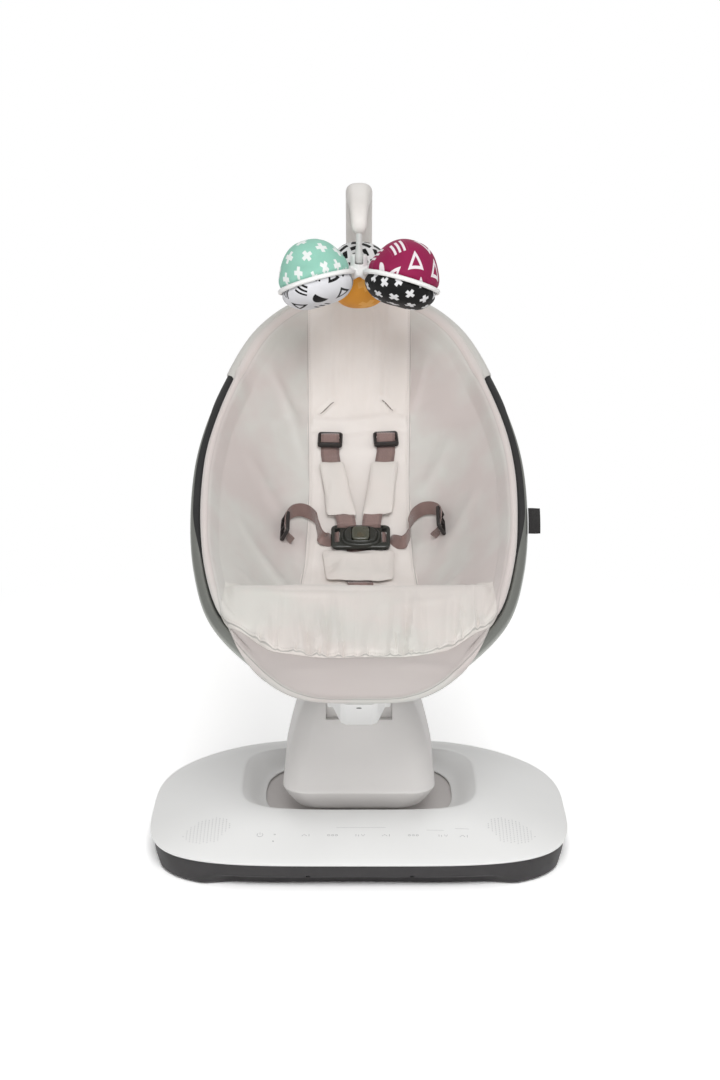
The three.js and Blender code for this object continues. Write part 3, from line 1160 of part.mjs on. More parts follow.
addPiece('carriage_plate', makeCarriagePlate(), FINISH.steel);
addPiece('dust_shield', makeShield(), FINISH.shieldGrey);
addPiece('mast_sleeve', tube(NECK_HALF_WIDTH - sleeveInset, NECK_HALF_DEPTH - sleeveInset, SLEEVE_WALL,
  plateTop + TOUCH, SLEEVE_TOP), FINISH.shellGrey);
addPiece('sway_motor', makeSwayMotor(), FINISH.motor);
addPiece('lift_motor', makeLiftMotor(), FINISH.motor);
for (const [name, side] of [['left', -1], ['right', 1]]) {
  addPiece(`guide_column_${name}`, rod('z', COLUMN_RADIUS, plateTop + TOUCH, COLUMN_TOP, [side * COLUMN_X, 0], 20),
    FINISH.steel);
  addPiece(`lift_spring_${name}`, makeSpring(side), FINISH.steel);
}
addPiece('sway_pinion', makePinion().rotateZ(degrees(90)).translate(0, SWAY_GEAR_Y, SWAY_GEAR_Z), FINISH.gear);
addPiece('lift_pinion', makePinion().translate(0, 0, -GEAR_WIDTH / 2).rotateY(Math.PI / 2)
  .rotateX(Math.PI / 2).translate(0, LIFT_GEAR_Y, LIFT_GEAR_Z), FINISH.gear);

addPiece('tower_shell', makeTowerShell(), FINISH.shellGrey);
addPiece('tower_neck', makeNeck(), FINISH.shellGrey);
addPiece('lift_frame', makeLiftFrame(), FINISH.black);
addPiece('lift_rack', makeRack(liftRackBottom - LIFT_GEAR_Z, FRAME_Z - TOUCH - LIFT_GEAR_Z)
  .translate(0, 0, -GEAR_WIDTH / 2).rotateY(-Math.PI / 2).rotateZ(Math.PI)
  .translate(0, LIFT_GEAR_Y + GEAR_PITCH_RADIUS, LIFT_GEAR_Z), FINISH.gear);
addPiece('rail_guide', makeRailGuide(), FINISH.shellGrey);
addPiece('clamp_shoe', makeShoe(), FINISH.gear);
addPiece('recline_knob', makeKnob(), FINISH.panGrey);

addPiece('seat_rail', makeRail(), FINISH.shellWhite);
addPiece('seat_ring', makeRing(), FINISH.tube);
addPiece('bar_socket', makeBarSocket(), FINISH.shellWhite);
addPiece('seat_sling', makeSling(), FINISH.sling);
addPiece('seat_liner', makeLiner(), FINISH.fabric);
addPiece('back_panel', makeBackPanel(), FINISH.fabric);
addPiece('leg_bolster', makeBolster(), FINISH.fabric);
for (const [name, side] of [['left', -1], ['right', 1]]) {
  addPiece(`shoulder_strap_${name}`, makeShoulderStrap(), FINISH.webbing, side);
  addPiece(`shoulder_pad_${name}`, makeShoulderPad(), FINISH.fabric, side);
  addPiece(`strap_adjuster_${name}`, makeAdjuster(), FINISH.black, side);
  addPiece(`waist_strap_${name}`, makeWaistStrap(), FINISH.webbing, side);
  addPiece(`waist_slider_${name}`, makeWaistSlider(), FINISH.black, side);
}
addPiece('buckle_body', makeBuckleBody(), FINISH.buckle);
addPiece('buckle_button', makeButton(), FINISH.buckle);
addPiece('crotch_pad', makeCrotchPad(), FINISH.fabric);
addPiece('crotch_strap', makeCrotchStrap(), FINISH.webbing);
addPiece('side_tag', makeTag(), FINISH.black);

addPiece('toy_bar', makeToyBar(), FINISH.shellWhite);
addPiece('mobile_pin', makeMobilePin(), FINISH.clear);
addPiece('mobile_frame', makeMobileFrame(), FINISH.shellWhite);
addPiece('toy_left', makeToy(TOYS[0]), FINISH.mint);
addPiece('toy_right', makeToy(TOYS[1]), FINISH.magenta);
addPiece('toy_rear', makeToy(TOYS[2]), FINISH.orange);
addPiece('toy_mirror', mirrorDisc(0), FINISH.mirror);

// The part's origin is at the middle of its bounding box, on the floor.
const bounds = new THREE.Box3().setFromObject(swing);
swing.position.y = -(bounds.min.y + bounds.max.y) / 2;

export default swing;
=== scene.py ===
import json
import math

import bpy
import numpy as np
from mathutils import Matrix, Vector
from mathutils.bvhtree import BVHTree
from mathutils.kdtree import KDTree


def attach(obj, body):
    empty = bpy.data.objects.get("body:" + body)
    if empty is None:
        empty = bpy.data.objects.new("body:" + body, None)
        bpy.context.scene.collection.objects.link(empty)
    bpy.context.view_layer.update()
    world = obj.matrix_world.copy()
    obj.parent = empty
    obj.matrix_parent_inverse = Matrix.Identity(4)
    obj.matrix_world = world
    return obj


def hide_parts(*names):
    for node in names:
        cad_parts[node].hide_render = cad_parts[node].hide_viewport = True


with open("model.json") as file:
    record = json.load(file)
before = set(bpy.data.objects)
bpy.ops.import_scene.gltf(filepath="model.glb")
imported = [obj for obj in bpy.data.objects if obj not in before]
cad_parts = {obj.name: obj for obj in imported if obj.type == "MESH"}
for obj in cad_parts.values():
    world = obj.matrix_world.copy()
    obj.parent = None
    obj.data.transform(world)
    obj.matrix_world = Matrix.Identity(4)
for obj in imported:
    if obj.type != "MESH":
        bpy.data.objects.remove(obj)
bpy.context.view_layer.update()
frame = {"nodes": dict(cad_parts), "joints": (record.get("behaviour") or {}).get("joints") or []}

bl_info = {
    "name": "Baby Swing Looks",
    "version": (1, 0, 0),
    "blender": (4, 5, 0),
    "location": "View3D > Sidebar > Baby Swing",
    "description": "Dresses the packed frame of a motorised baby swing with its finished pieces",
    "category": "Object",
}

MM = 0.001
JOINTS = {joint["name"]: joint for joint in frame["joints"]}

# Sizes below are in millimetres on the part's own drawing: x to the right, y to the head end, z up.
RAIL_AXIS = (-48.0, 532.0)
SHIFT_Y = JOINTS["recline"]["pos_m"][1] / MM - RAIL_AXIS[0]
RAIL_RADIUS = 367.0
RAIL_TOP = 341.0
RAIL_FOOT_ANGLE = -39.67
RAIL_HEAD_ANGLE = 104.0
SLOT_HALF = 38.9
SLOT_RADIUS = 376.9
CHEEK_RADIUS = 349.0
RING_TUBE = 8.0
RING_SAG = 25.0
RING_OUTLINE = [(8, 66), (60, 120), (120, 160), (200, 181), (300, 190), (400, 186), (500, 163), (600, 121),
                (648, 66)]
BOWL_FLOOR = [(8, 15), (22, 9), (40, -18), (70, -50), (130, -78), (218, -112), (290, -132), (360, -126),
              (432, -106), (500, -82), (572, -52), (625, -25), (657, 0)]
MOBILE_Y = 134.0


# ---------------- curves and places
def to_frame(points):
    """Drawing millimetres to the frame's metres."""
    return (np.asarray(points, float) + (0.0, SHIFT_Y, 0.0)) * MM


def lerp(a, b, t):
    return a + (b - a) * t


def ease(t):
    """Soft step from 0 to 1."""
    t = np.clip(t, 0.0, 1.0)
    return t * t * (3.0 - 2.0 * t)


def hump(distance, width):
    """A soft ridge: 1 at no distance, gone a little past its width."""
    return np.exp(-(distance / width) ** 2)


def full_turn(count):
    """Angles all the way round, the last one left out."""
    return np.linspace(0, 2 * np.pi, count, endpoint=False)


def on_arc(angle, radius):
    """y, z on a circle round the recline axis, with the angle in degrees from straight down."""
    turn = np.radians(angle)
    return RAIL_AXIS[0] + radius * np.sin(turn), RAIL_AXIS[1] - radius * np.cos(turn)


def curve_between(t, start, end, start_slope, end_slope, length=1):
    """Curve from start to end with its slopes there, at t from 0 to 1."""
    return ((2 * t**3 - 3 * t**2 + 1) * start + (t**3 - 2 * t**2 + t) * length * start_slope
            + (3 * t**2 - 2 * t**3) * end + (t**3 - t**2) * length * end_slope)


def smooth_through(rows, x):
    """Smooth curve through a few (place, value) rows."""
    px, py = np.array(rows, float).T
    count = len(px)
    before = np.maximum(np.arange(count) - 1, 0)
    after = np.minimum(np.arange(count) + 1, count - 1)
    slope = (py[after] - py[before]) / (px[after] - px[before])
    x = np.clip(np.asarray(x, float), px[0], px[-1])
    i = np.clip(np.searchsorted(px, x) - 1, 0, count - 2)
    length = px[i + 1] - px[i]
    return curve_between((x - px[i]) / length, py[i], py[i + 1], slope[i], slope[i + 1], length)


def smooth_path(points, closed=False, fine=24):
    """Dense curve that passes through the points without overshooting."""
    points = [np.array(p, float) for p in points]
    count = len(points)
    if closed:
        quads = [[points[(i + k) % count] for k in (-1, 0, 1, 2)] for i in range(count)]
    else:
        led = [2 * points[0] - points[1], *points, 2 * points[-1] - points[-2]]
        quads = [led[i:i + 4] for i in range(count - 1)]
    path = []
    for a, b, c, d in quads:
        gaps = [max(np.linalg.norm(q - p), 1e-6) ** 0.5 for p, q in ((a, b), (b, c), (c, d))]
        start = ((b - a) / gaps[0] - (c - a) / (gaps[0] + gaps[1]) + (c - b) / gaps[1]) * gaps[1]
        end = ((c - b) / gaps[1] - (d - b) / (gaps[1] + gaps[2]) + (d - c) / gaps[2]) * gaps[1]
        path += [curve_between(t, b, c, start, end) for t in np.arange(fine) / fine]
    path.append(points[0] if closed else points[-1])
    return np.array(path)


def unit(vectors):
    """Rows of vectors at length 1."""
    return vectors / np.linalg.norm(vectors, axis=1, keepdims=True)


def spaced(path, count):
    """The path again as count points at even distances."""
    length = np.concatenate([[0], np.cumsum(np.linalg.norm(np.diff(path, axis=0), axis=1))])
    at = np.linspace(0, length[-1], count)
    return np.stack([np.interp(at, length, path[:, k]) for k in range(path.shape[1])], axis=1)


def superellipse(half_x, front, back, front_power, back_power, centre_y=0.0, count=160):
    """Rounded outline with its own reach and squareness in front and behind."""
    angle = 2 * np.pi * np.arange(count) / count
    c, s = np.cos(angle), np.sin(angle)
    power = 2 / np.where(s < 0, front_power, back_power)
    reach = np.where(s < 0, front, back)
    return np.stack([half_x * np.sign(c) * np.abs(c) ** power,
                     centre_y + reach * np.sign(s) * np.abs(s) ** power], axis=1)


def even_outline(half_x, half_y, power, count):
    """Rounded outline that is the same in front and behind."""
    return superellipse(half_x, half_y, half_y, power, power, 0.0, count)


def rounded_block(half_x, front, back, radius, steps=10):
    """Rectangle with round corners from front to back, counted round from the right."""
    points = []
    for corner, (side, edge) in enumerate(((1, back), (-1, back), (-1, front), (1, front))):
        for i in range(steps + 1):
            angle = math.pi / 2 * (corner + i / steps)
            points.append((side * (half_x - radius) + radius * math.cos(angle),
                           edge - math.copysign(radius, edge) + radius * math.sin(angle)))
    return np.array(points)


def at_height(outline, z):
    return np.column_stack([outline, np.full(len(outline), float(z))])


def sweep_arc(outline, angle):
    """Section of (x, radius) points stood at an angle round the recline axis."""
    y, z = on_arc(angle, outline[:, 1])
    return np.column_stack([outline[:, 0], y, z])


def softened(corners, radius, steps=2):
    """Closed outline with each corner rounded off."""
    corners = np.array(corners, float)
    points = []
    for before, here, after in zip(np.roll(corners, 1, 0), corners, np.roll(corners, -1, 0)):
        ways = (before - here, after - here)
        reach = min(radius, *(np.linalg.norm(way) / 2.2 for way in ways))
        start, end = (here + way / np.linalg.norm(way) * reach for way in ways)
        for t in np.linspace(0, 1, steps + 1):
            points.append((1 - t) ** 2 * start + 2 * t * (1 - t) * here + t * t * end)
    return np.array(points)


# ---------------- seat: its own frame
RING_FOOT = np.array([0.0, *on_arc(-41.035, 357.95)])
RING_HEAD = np.array([0.0, *on_arc(101.8, 332.7)])
SEAT_LENGTH = float(np.linalg.norm(RING_HEAD - RING_FOOT))
ALONG = (RING_HEAD - RING_FOOT) / SEAT_LENGTH
OUT = np.array([0.0, -ALONG[2], ALONG[1]])
ACROSS = np.array([1.0, 0.0, 0.0])
STRETCH = SEAT_LENGTH / 657.0


def seat(u, x, n):
    """Drawing place from u along the seat, x across it and n out of it."""
    u, x, n = (np.asarray(v, float)[..., None] for v in (u, x, n))
    return RING_FOOT + u * ALONG + x * ACROSS + n * OUT


def rim_sag(u):
    return -RING_SAG * 4 * (u / SEAT_LENGTH) * (1 - u / SEAT_LENGTH)


def ring_plan():
    """Even loop of the tube's centre line (u, x), from the head round by the right to the head again."""
    right = [(u * STRETCH, w) for u, w in RING_OUTLINE]
    left = [(u, -w) for u, w in reversed(right)]
    loop = smooth_path([(0, 0), *right, (SEAT_LENGTH, 0), *left], closed=True)
    half = len(loop) // 2
    return np.concatenate([loop[half:-1], loop[:half + 1]])[::-1]


PLAN = ring_plan()
SIDE = PLAN[:len(PLAN) // 2 + 1][::-1]


def half_width(u):
    """Half width of the ring at u, to the tube's centre line."""
    return np.interp(u, np.maximum.accumulate(SIDE[:, 0]), np.abs(SIDE[:, 1]))


def bowl(u, x):
    """Height of the seat's padded inside over the ring's chord."""
    share = np.minimum(np.abs(x) / np.maximum(half_width(u), 1.0), 1.0)
    floor = smooth_through([(a * STRETCH, b) for a, b in BOWL_FLOOR], u)
    return rim_sag(u) + (floor - rim_sag(u)) * (1 - share ** 2.6)


# ---------------- modelling steps
def deselect():
    if bpy.context.object and bpy.context.object.mode != "OBJECT":
        bpy.ops.object.mode_set(mode="OBJECT")
    bpy.ops.object.select_all(action="DESELECT")


def pick(obj):
    """Makes one object the only selected and active one."""
    deselect()
    obj.select_set(True)
    bpy.context.view_layer.objects.active = obj


def turn_outwards(obj, inside=False):
    pick(obj)
    bpy.ops.object.mode_set(mode="EDIT")
    bpy.ops.mesh.select_all(action="SELECT")
    bpy.ops.mesh.remove_doubles(threshold=0.004 * MM)
    bpy.ops.mesh.normals_make_consistent(inside=inside)
    bpy.ops.object.mode_set(mode="OBJECT")


def named(name):
    """The piece that was just added, under its name."""
    made = bpy.context.object
    made.name = made.data.name = name
    return made


def places_of(obj):
    """A mesh's vertices as rows of x, y and z in metres."""
    flat = np.zeros(len(obj.data.vertices) * 3)
    obj.data.vertices.foreach_get("co", flat)
    return flat.reshape(-1, 3)


def put_places(obj, places):
    obj.data.vertices.foreach_set("co", places.ravel())
    obj.data.update()


def loft(name, sections, around=False):
    """Carries a loop through its sections: a circle is extruded once for each, then put in place."""
    deselect()
    bpy.ops.mesh.primitive_circle_add(vertices=len(sections[0]), radius=10 * MM, enter_editmode=True)
    for _ in sections[1:]:
        bpy.ops.mesh.extrude_edges_move(TRANSFORM_OT_translate={"value": (0, 0, MM)})
    bpy.ops.mesh.select_mode(type="EDGE")
    bpy.ops.mesh.select_all(action="SELECT")
    if around:
        bpy.ops.mesh.select_all(action="DESELECT")
        bpy.ops.mesh.select_non_manifold()
        bpy.ops.mesh.bridge_edge_loops()
    else:
        bpy.ops.mesh.fill_holes(sides=0)
    bpy.ops.object.mode_set(mode="OBJECT")
    made = named(name)
    put_places(made, to_frame(np.array(sections)))
    turn_outwards(made)
    return made


def set_up(target, **settings):
    for key, value in settings.items():
        setattr(target, key, value)


def modify(obj, kind, **settings):
    """Adds a modifier and applies it."""
    modifier = obj.modifiers.new(kind.title(), kind)
    set_up(modifier, **settings)
    pick(obj)
    bpy.ops.object.modifier_apply(modifier=modifier.name)


def thicken(obj, thickness, offset):
    """Gives an open sheet its thickness in mm: inwards (-1) or to both sides (0)."""
    modify(obj, "SOLIDIFY", thickness=thickness * MM, offset=offset)


def bevel_edges(obj, width, segments, angle, **settings):
    """Bevels the edges sharper than an angle in degrees."""
    modify(obj, "BEVEL", width=width * MM, segments=segments, limit_method="ANGLE",
           angle_limit=math.radians(angle), **settings)


def subtract(obj, tool):
    modify(obj, "BOOLEAN", operation="DIFFERENCE", object=tool, solver="EXACT")
    bpy.data.objects.remove(tool)


def join(name, *objects):
    """One object from several."""
    pick(objects[0])
    for other in objects[1:]:
        other.select_set(True)
    bpy.ops.object.join()
    objects[0].name = objects[0].data.name = name
    return objects[0]


def frame_point(point):
    return tuple(to_frame(point))


def cylinder(name, radius, depth, centre, axis="z", vertices=48, bevel=0.0):
    """Round bar or disc with its edges bevelled."""
    deselect()
    turn = {"x": (0, math.pi / 2, 0), "y": (math.pi / 2, 0, 0), "z": (0, 0, 0)}[axis]
    bpy.ops.mesh.primitive_cylinder_add(vertices=vertices, radius=radius * MM, depth=depth * MM,
                                        location=frame_point(centre), rotation=turn)
    made = named(name)
    bpy.ops.object.transform_apply(location=True, rotation=True, scale=True)
    if bevel:
        bevel_edges(made, bevel, 3, 50)
    return made


def spin(name, profile, centre, steps=64, around=False):
    """Turned piece: a circle carried through the rings of a (radius, height) profile."""
    turn = full_turn(steps)
    return loft(name, [np.column_stack([centre[0] + r * np.cos(turn), centre[1] + r * np.sin(turn),
                                        np.full(steps, centre[2] + z)]) for r, z in profile], around)


def block(name, low, high, bevel=0.0):
    """Cuboid between two corners with its edges bevelled."""
    deselect()
    low, high = np.array(low, float), np.array(high, float)
    bpy.ops.mesh.primitive_cube_add(size=1, location=frame_point((low + high) / 2),
                                    scale=tuple((high - low) * MM))
    made = named(name)
    bpy.ops.object.transform_apply(location=True, rotation=True, scale=True)
    if bevel:
        modify(made, "BEVEL", width=bevel * MM, segments=3)
    return made


def lay(obj, origin, sideways, ahead, out):
    """Carries a piece modelled flat at the drawing's zero to its place on a face."""
    flat = places_of(obj) / MM - (0.0, SHIFT_Y, 0.0)
    put_places(obj, to_frame(origin + flat[:, :1] * sideways + flat[:, 1:2] * ahead + flat[:, 2:] * out))


def surface(name, grid, **maps):
    """Open sheet through a grid of places, with UV maps given as grids of pairs."""
    rows, columns = grid.shape[:2]
    deselect()
    bpy.ops.mesh.primitive_grid_add(x_subdivisions=columns - 1, y_subdivisions=rows - 1, size=MM)
    made = named(name)
    put_places(made, to_frame(grid))
    write_maps(made, maps)
    return made


def slab(name, top, bottom, **maps):
    """Closed pad between two grids of places of the same size."""
    rows, columns = top.shape[:2]
    under = rows * columns
    index = np.arange(under).reshape(rows, columns)
    a, b, c, d = index[:-1, :-1], index[:-1, 1:], index[1:, 1:], index[1:, :-1]
    faces = np.stack([a, b, c, d], axis=-1).reshape(-1, 4)
    border = np.concatenate([index[0, :-1], index[:-1, -1], index[-1, :0:-1], index[:0:-1, 0]])
    after = np.roll(border, -1)
    walls = np.stack([after, border, border + under, after + under], axis=-1)
    mesh = bpy.data.meshes.new(name)
    mesh.from_pydata(to_frame(np.concatenate([top.reshape(-1, 3), bottom.reshape(-1, 3)])).tolist(), [],
                     np.concatenate([faces, faces[:, ::-1] + under, walls]).tolist())
    made = bpy.data.objects.new(name, mesh)
    bpy.context.scene.collection.objects.link(made)
    write_maps(made, {key: np.concatenate([grid.reshape(-1, 2)] * 2) for key, grid in maps.items()})
    return made


def chart(across, along):
    """UV map in metres from two grids of millimetres."""
    return np.stack(np.broadcast_arrays(across, along), axis=-1) * MM


def write_maps(obj, maps):
    """UV maps from one pair of numbers for each vertex."""
    while obj.data.uv_layers:
        obj.data.uv_layers.remove(obj.data.uv_layers[0])
    corners = np.zeros(len(obj.data.loops), int)
    obj.data.loops.foreach_get("vertex_index", corners)
    for key, pairs in maps.items():
        layer = obj.data.uv_layers.new(name=key)
        layer.data.foreach_set("uv", pairs.reshape(-1, 2)[corners].ravel())


def coat(obj, look):
    """Gives a piece one finish in place of what it had."""
    obj.data.materials.clear()
    obj.data.materials.append(finish(look))


def dress(obj, body, look, replaces=(), smooth=35.0):
    """Shades a finished piece, gives it its finish and hangs it on its body."""
    pick(obj)
    if smooth:
        bpy.ops.object.shade_smooth_by_angle(angle=math.radians(smooth))
    coat(obj, look)
    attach(obj, body)
    if replaces:
        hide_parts(*replaces)
    return obj


def ray_height(tree, u, x, start=120.0):
    """Height over the ring's chord at which a line along OUT meets a surface."""
    heights = np.full(np.shape(u), np.nan)
    toward = Vector(-OUT)
    for place in np.ndindex(np.shape(u)):
        origin = Vector(frame_point(seat(u[place], x[place], start)))
        hit = tree.ray_cast(origin, toward)
        if hit[0] is not None:
            heights[place] = start - hit[3] / MM
    return heights


def tree_of(obj):
    return BVHTree.FromObject(obj, bpy.context.evaluated_depsgraph_get())


# ---------------- finishes
def shade(red, green, blue):
    """Colour from 0 to 255 a channel, as it looks, to the numbers a shader takes."""
    channels = np.array([red, green, blue]) / 255
    return (*np.where(channels <= 0.04045, channels / 12.92, ((channels + 0.055) / 1.055) ** 2.4), 1.0)


def tint(colour, factor):
    return (*[min(channel * factor, 1.0) for channel in colour[:3]], 1.0)


class Finish:
    """A node material, put together step by step."""

    def __init__(self, name, **sockets):
        self.material = bpy.data.materials.new(name)
        self.material.use_nodes = True
        self.nodes = self.material.node_tree.nodes
        self.links = self.material.node_tree.links
        self.shader = self.nodes["Principled BSDF"]
        for key, value in sockets.items():
            self.shader.inputs[key.replace("_", " ")].default_value = value

    def feed(self, socket, value):
        if isinstance(value, bpy.types.NodeSocket):
            self.links.new(value, socket)
        else:
            socket.default_value = value

    def node(self, kind, *values, out=0, **settings):
        """A node with its inputs filled in order; a None leaves one alone."""
        made = self.nodes.new("ShaderNode" + kind)
        set_up(made, **settings)
        for socket, value in zip([s for s in made.inputs if s.enabled], values):
            if value is not None:
                self.feed(socket, value)
        return made.outputs[out]

    def place(self, uv=None):
        """Places on the piece: the frame's own metres, or a UV map in metres."""
        if uv:
            made = self.nodes.new("ShaderNodeUVMap")
            made.uv_map = uv
            return made.outputs[0]
        return self.node("TexCoord", out=3)

    def math(self, operation, *values, clamp=False):
        return self.node("Math", *values, operation=operation, use_clamp=clamp)

    def times(self, first, second):
        return self.math("MULTIPLY", first, second)

    def waves(self, where, scale, distortion, detail, direction):
        """Soft bands from 0 to 1 that follow one another in a direction."""
        return self.node("TexWave", where, scale, distortion, detail, wave_type="BANDS",
                         bands_direction=direction)

    def part(self, vector, which):
        """One of the three numbers of a place: 0, 1 or 2."""
        return self.node("SeparateXYZ", vector, out=which)

    def noise(self, where, scale, detail=2.0, roughness=0.5, stretch=None):
        """Noise from 0 to 1, with its scale in patches a metre."""
        if stretch:
            where = self.node("Mapping", where, None, None, stretch)
        return self.node("TexNoise", where, scale, detail, roughness)

    def between(self, value, low, high, new_low=0.0, new_high=1.0):
        return self.node("MapRange", value, low, high, new_low, new_high)

    def mix(self, factor, first, second):
        made = self.nodes.new("ShaderNodeMix")
        made.data_type = "RGBA"
        for socket, value in ((made.inputs[0], factor), (made.inputs[6], first), (made.inputs[7], second)):
            self.feed(socket, value)
        return made.outputs[2]

    def bumps(self, *layers):
        """Bump from (height, depth in mm) layers, one on another."""
        normal = None
        for height, depth in layers:
            made = self.nodes.new("ShaderNodeBump")
            made.inputs["Distance"].default_value = depth * MM
            made.inputs["Strength"].default_value = 1.0
            self.feed(made.inputs["Height"], height)
            if normal is not None:
                self.links.new(normal, made.inputs["Normal"])
            normal = made.outputs[0]
        self.links.new(normal, self.shader.inputs["Normal"])

    def colour(self, value):
        self.feed(self.shader.inputs["Base Color"], value)

    def rough(self, value):
        self.feed(self.shader.inputs["Roughness"], value)


def moulded(name, colour, roughness=0.45, grain=0.03, grain_scale=1400.0, mottle=0.035, **sockets):
    """Injection-moulded plastic: spark-eroded grain, slow sink marks, handling polish and fine dust."""
    f = Finish(name, **sockets)
    where = f.place()
    slow = f.noise(where, 9, 3)
    fine = f.noise(where, grain_scale, 1, 0.6)
    cloud = f.noise(where, 60, 4, 0.6)
    speck = f.between(f.noise(where, 2600, 0), 0.70, 0.76, 0, 0.25)
    body = f.mix(f.between(slow, 0.3, 0.7), tint(colour, 1 - mottle), tint(colour, 1 + mottle * 0.6))
    body = f.mix(f.times(speck, 0.35), body, tint(colour, 0.7))
    f.colour(body)
    f.rough(f.between(cloud, 0.25, 0.75, roughness - 0.05, roughness + 0.07))
    f.bumps((slow, 0.10), (fine, grain))
    return f.material


# Length of a stitch with its gap, in metres.
STITCH = 3.0 * MM


def woven(name, colour, other, uv="weave", pitch=None, sheen=0.35, seams=(), rim=False):
    """Silky cloth: crossed threads, slubs along the warp, slow shifts of tone, and seams at set distances
    whose dark lines are painted shade in their grooves. With rim, the cover's rim also gets painted light and
    shade: a lighter crest, a darker outer wrap and a darker band at the foot.
    """
    f = Finish(name, Sheen_Weight=sheen, Sheen_Roughness=0.42, Specular_IOR_Level=0.32)
    where = f.place(uv)
    solid = f.place()
    pace = 1 / (pitch * MM if pitch else sizes().weave)
    threads = f.times(f.waves(where, pace / 2, 0.8, 1.0, "X"), f.waves(where, pace / 2, 0.8, 1.0, "Y"))
    slub = f.noise(where, 420, 2, 0.6, (1.0, 9.0, 1.0))
    slow = f.noise(solid, 11, 3, 0.55)
    cloud = f.noise(solid, 38, 3, 0.5)
    body = f.mix(f.between(slow, 0.42, 0.60), colour, other)
    body = f.mix(f.between(cloud, 0.3, 0.75, 0, 0.28), body, tint(colour, 0.94))
    body = f.mix(f.between(slub, 0.35, 0.72, 0, 0.30), body, tint(colour, 1.05))
    body = f.mix(f.times(threads, 0.10), body, tint(colour, 0.86))
    layers = [(threads, 0.05), (slub, 0.045), (cloud, 0.175)]
    if rim:
        away = f.part(f.place("border"), 1)
        up_seat = f.part(where, 1)
        # Painted shade: the band of the cover between the rim seam and the bolster's lip at the foot is
        # darkened, as it faces down away from the light.
        band = f.times(f.between(away, 0.0, 4 * MM), f.between(up_seat, 70 * MM, 150 * MM, 1, 0))
        body = f.mix(f.times(band, 0.9), body, tint(colour, 0.77))
        # Painted light: the rim's crest just outside the rim seam is lightened along the sides and head.
        pale = f.times(f.between(away, -1 * MM, 1.5 * MM, 0.85, 0), f.between(up_seat, 110 * MM, 190 * MM))
        body = f.mix(pale, body, tint(colour, 1.10))
        # Painted shade: the cloth rolled over the tube is darkened towards the outside, where it turns away
        # from the light.
        body = f.mix(f.between(away, -16 * MM, -5 * MM, 0.8, 0), body, tint(other, 0.90))
    for distance, stitched in seams:
        border = f.node("SeparateXYZ", f.place("border"))
        across = border.node.outputs[1]
        off = f.math("ABSOLUTE", f.math("SUBTRACT", across, distance * MM))
        # Painted shade: a dark line along the groove of each seam.
        line = f.between(off, 0.25 * MM, 0.95 * MM, 1, 0)
        # At the rim the seam's painted shade is made stronger towards the foot.
        if rim:
            line = f.times(line, f.between(up_seat, 60 * MM, 170 * MM, 0.9, 0.3))
        if stitched:
            run = f.waves(f.node("CombineXYZ", border.node.outputs[0], 0, 0), 1 / STITCH / 2, 0, 0, "X")
            line = f.times(line, f.between(run, 0.30, 0.42))
            body = f.mix(f.times(line, 0.55), body, tint(colour, 0.80))
            layers.append((line, 0.25))
        else:
            body = f.mix(f.times(line, 0.62), body, tint(other, 0.45))
            layers.append((f.times(line, -1), 0.5))
    f.colour(body)
    f.rough(f.between(slub, 0.3, 0.7, 0.54, 0.67))
    f.bumps(*layers)
    return f.material


def webbing(name, colour):
    """Narrow woven tape: slanted ribs, bound edges and a satin gloss along it."""
    f = Finish(name, Sheen_Weight=0.5, Sheen_Roughness=0.35)
    where = f.place("weave")
    ribs = f.waves(f.node("Mapping", where, None, (0, 0, math.radians(28))), 420, 0.6, 1, "X")
    cords = f.waves(where, 340, 0.3, 1, "Y")
    hem = f.between(f.math("ABSOLUTE", f.part(where, 1)), 7.6 * MM, 8.6 * MM)
    wear = f.noise(f.place(), 90, 4, 0.6)
    body = f.mix(ribs, tint(colour, 0.70), tint(colour, 1.25))
    body = f.mix(f.times(hem, 0.55), body, tint(colour, 0.5))
    body = f.mix(f.between(wear, 0.35, 0.75, 0, 0.35), body, tint(colour, 1.45))
    f.colour(body)
    f.rough(f.between(wear, 0.3, 0.7, 0.34, 0.50))
    f.bumps((ribs, 0.16), (cords, 0.10))
    return f.material


def metal(name, colour, roughness, brushed):
    """Ground and clear-coated metal: fine scratches one way, with slow changes of gloss."""
    f = Finish(name, Metallic=1.0)
    where = f.place()
    scratch = f.noise(where, 260, 3, 0.7, brushed)
    slow = f.noise(where, 14, 3)
    f.colour(f.mix(f.between(scratch, 0.3, 0.7), tint(colour, 0.90), tint(colour, 1.06)))
    f.rough(f.between(slow, 0.3, 0.7, roughness - 0.06, roughness + 0.08))
    f.bumps((scratch, 0.02))
    return f.material


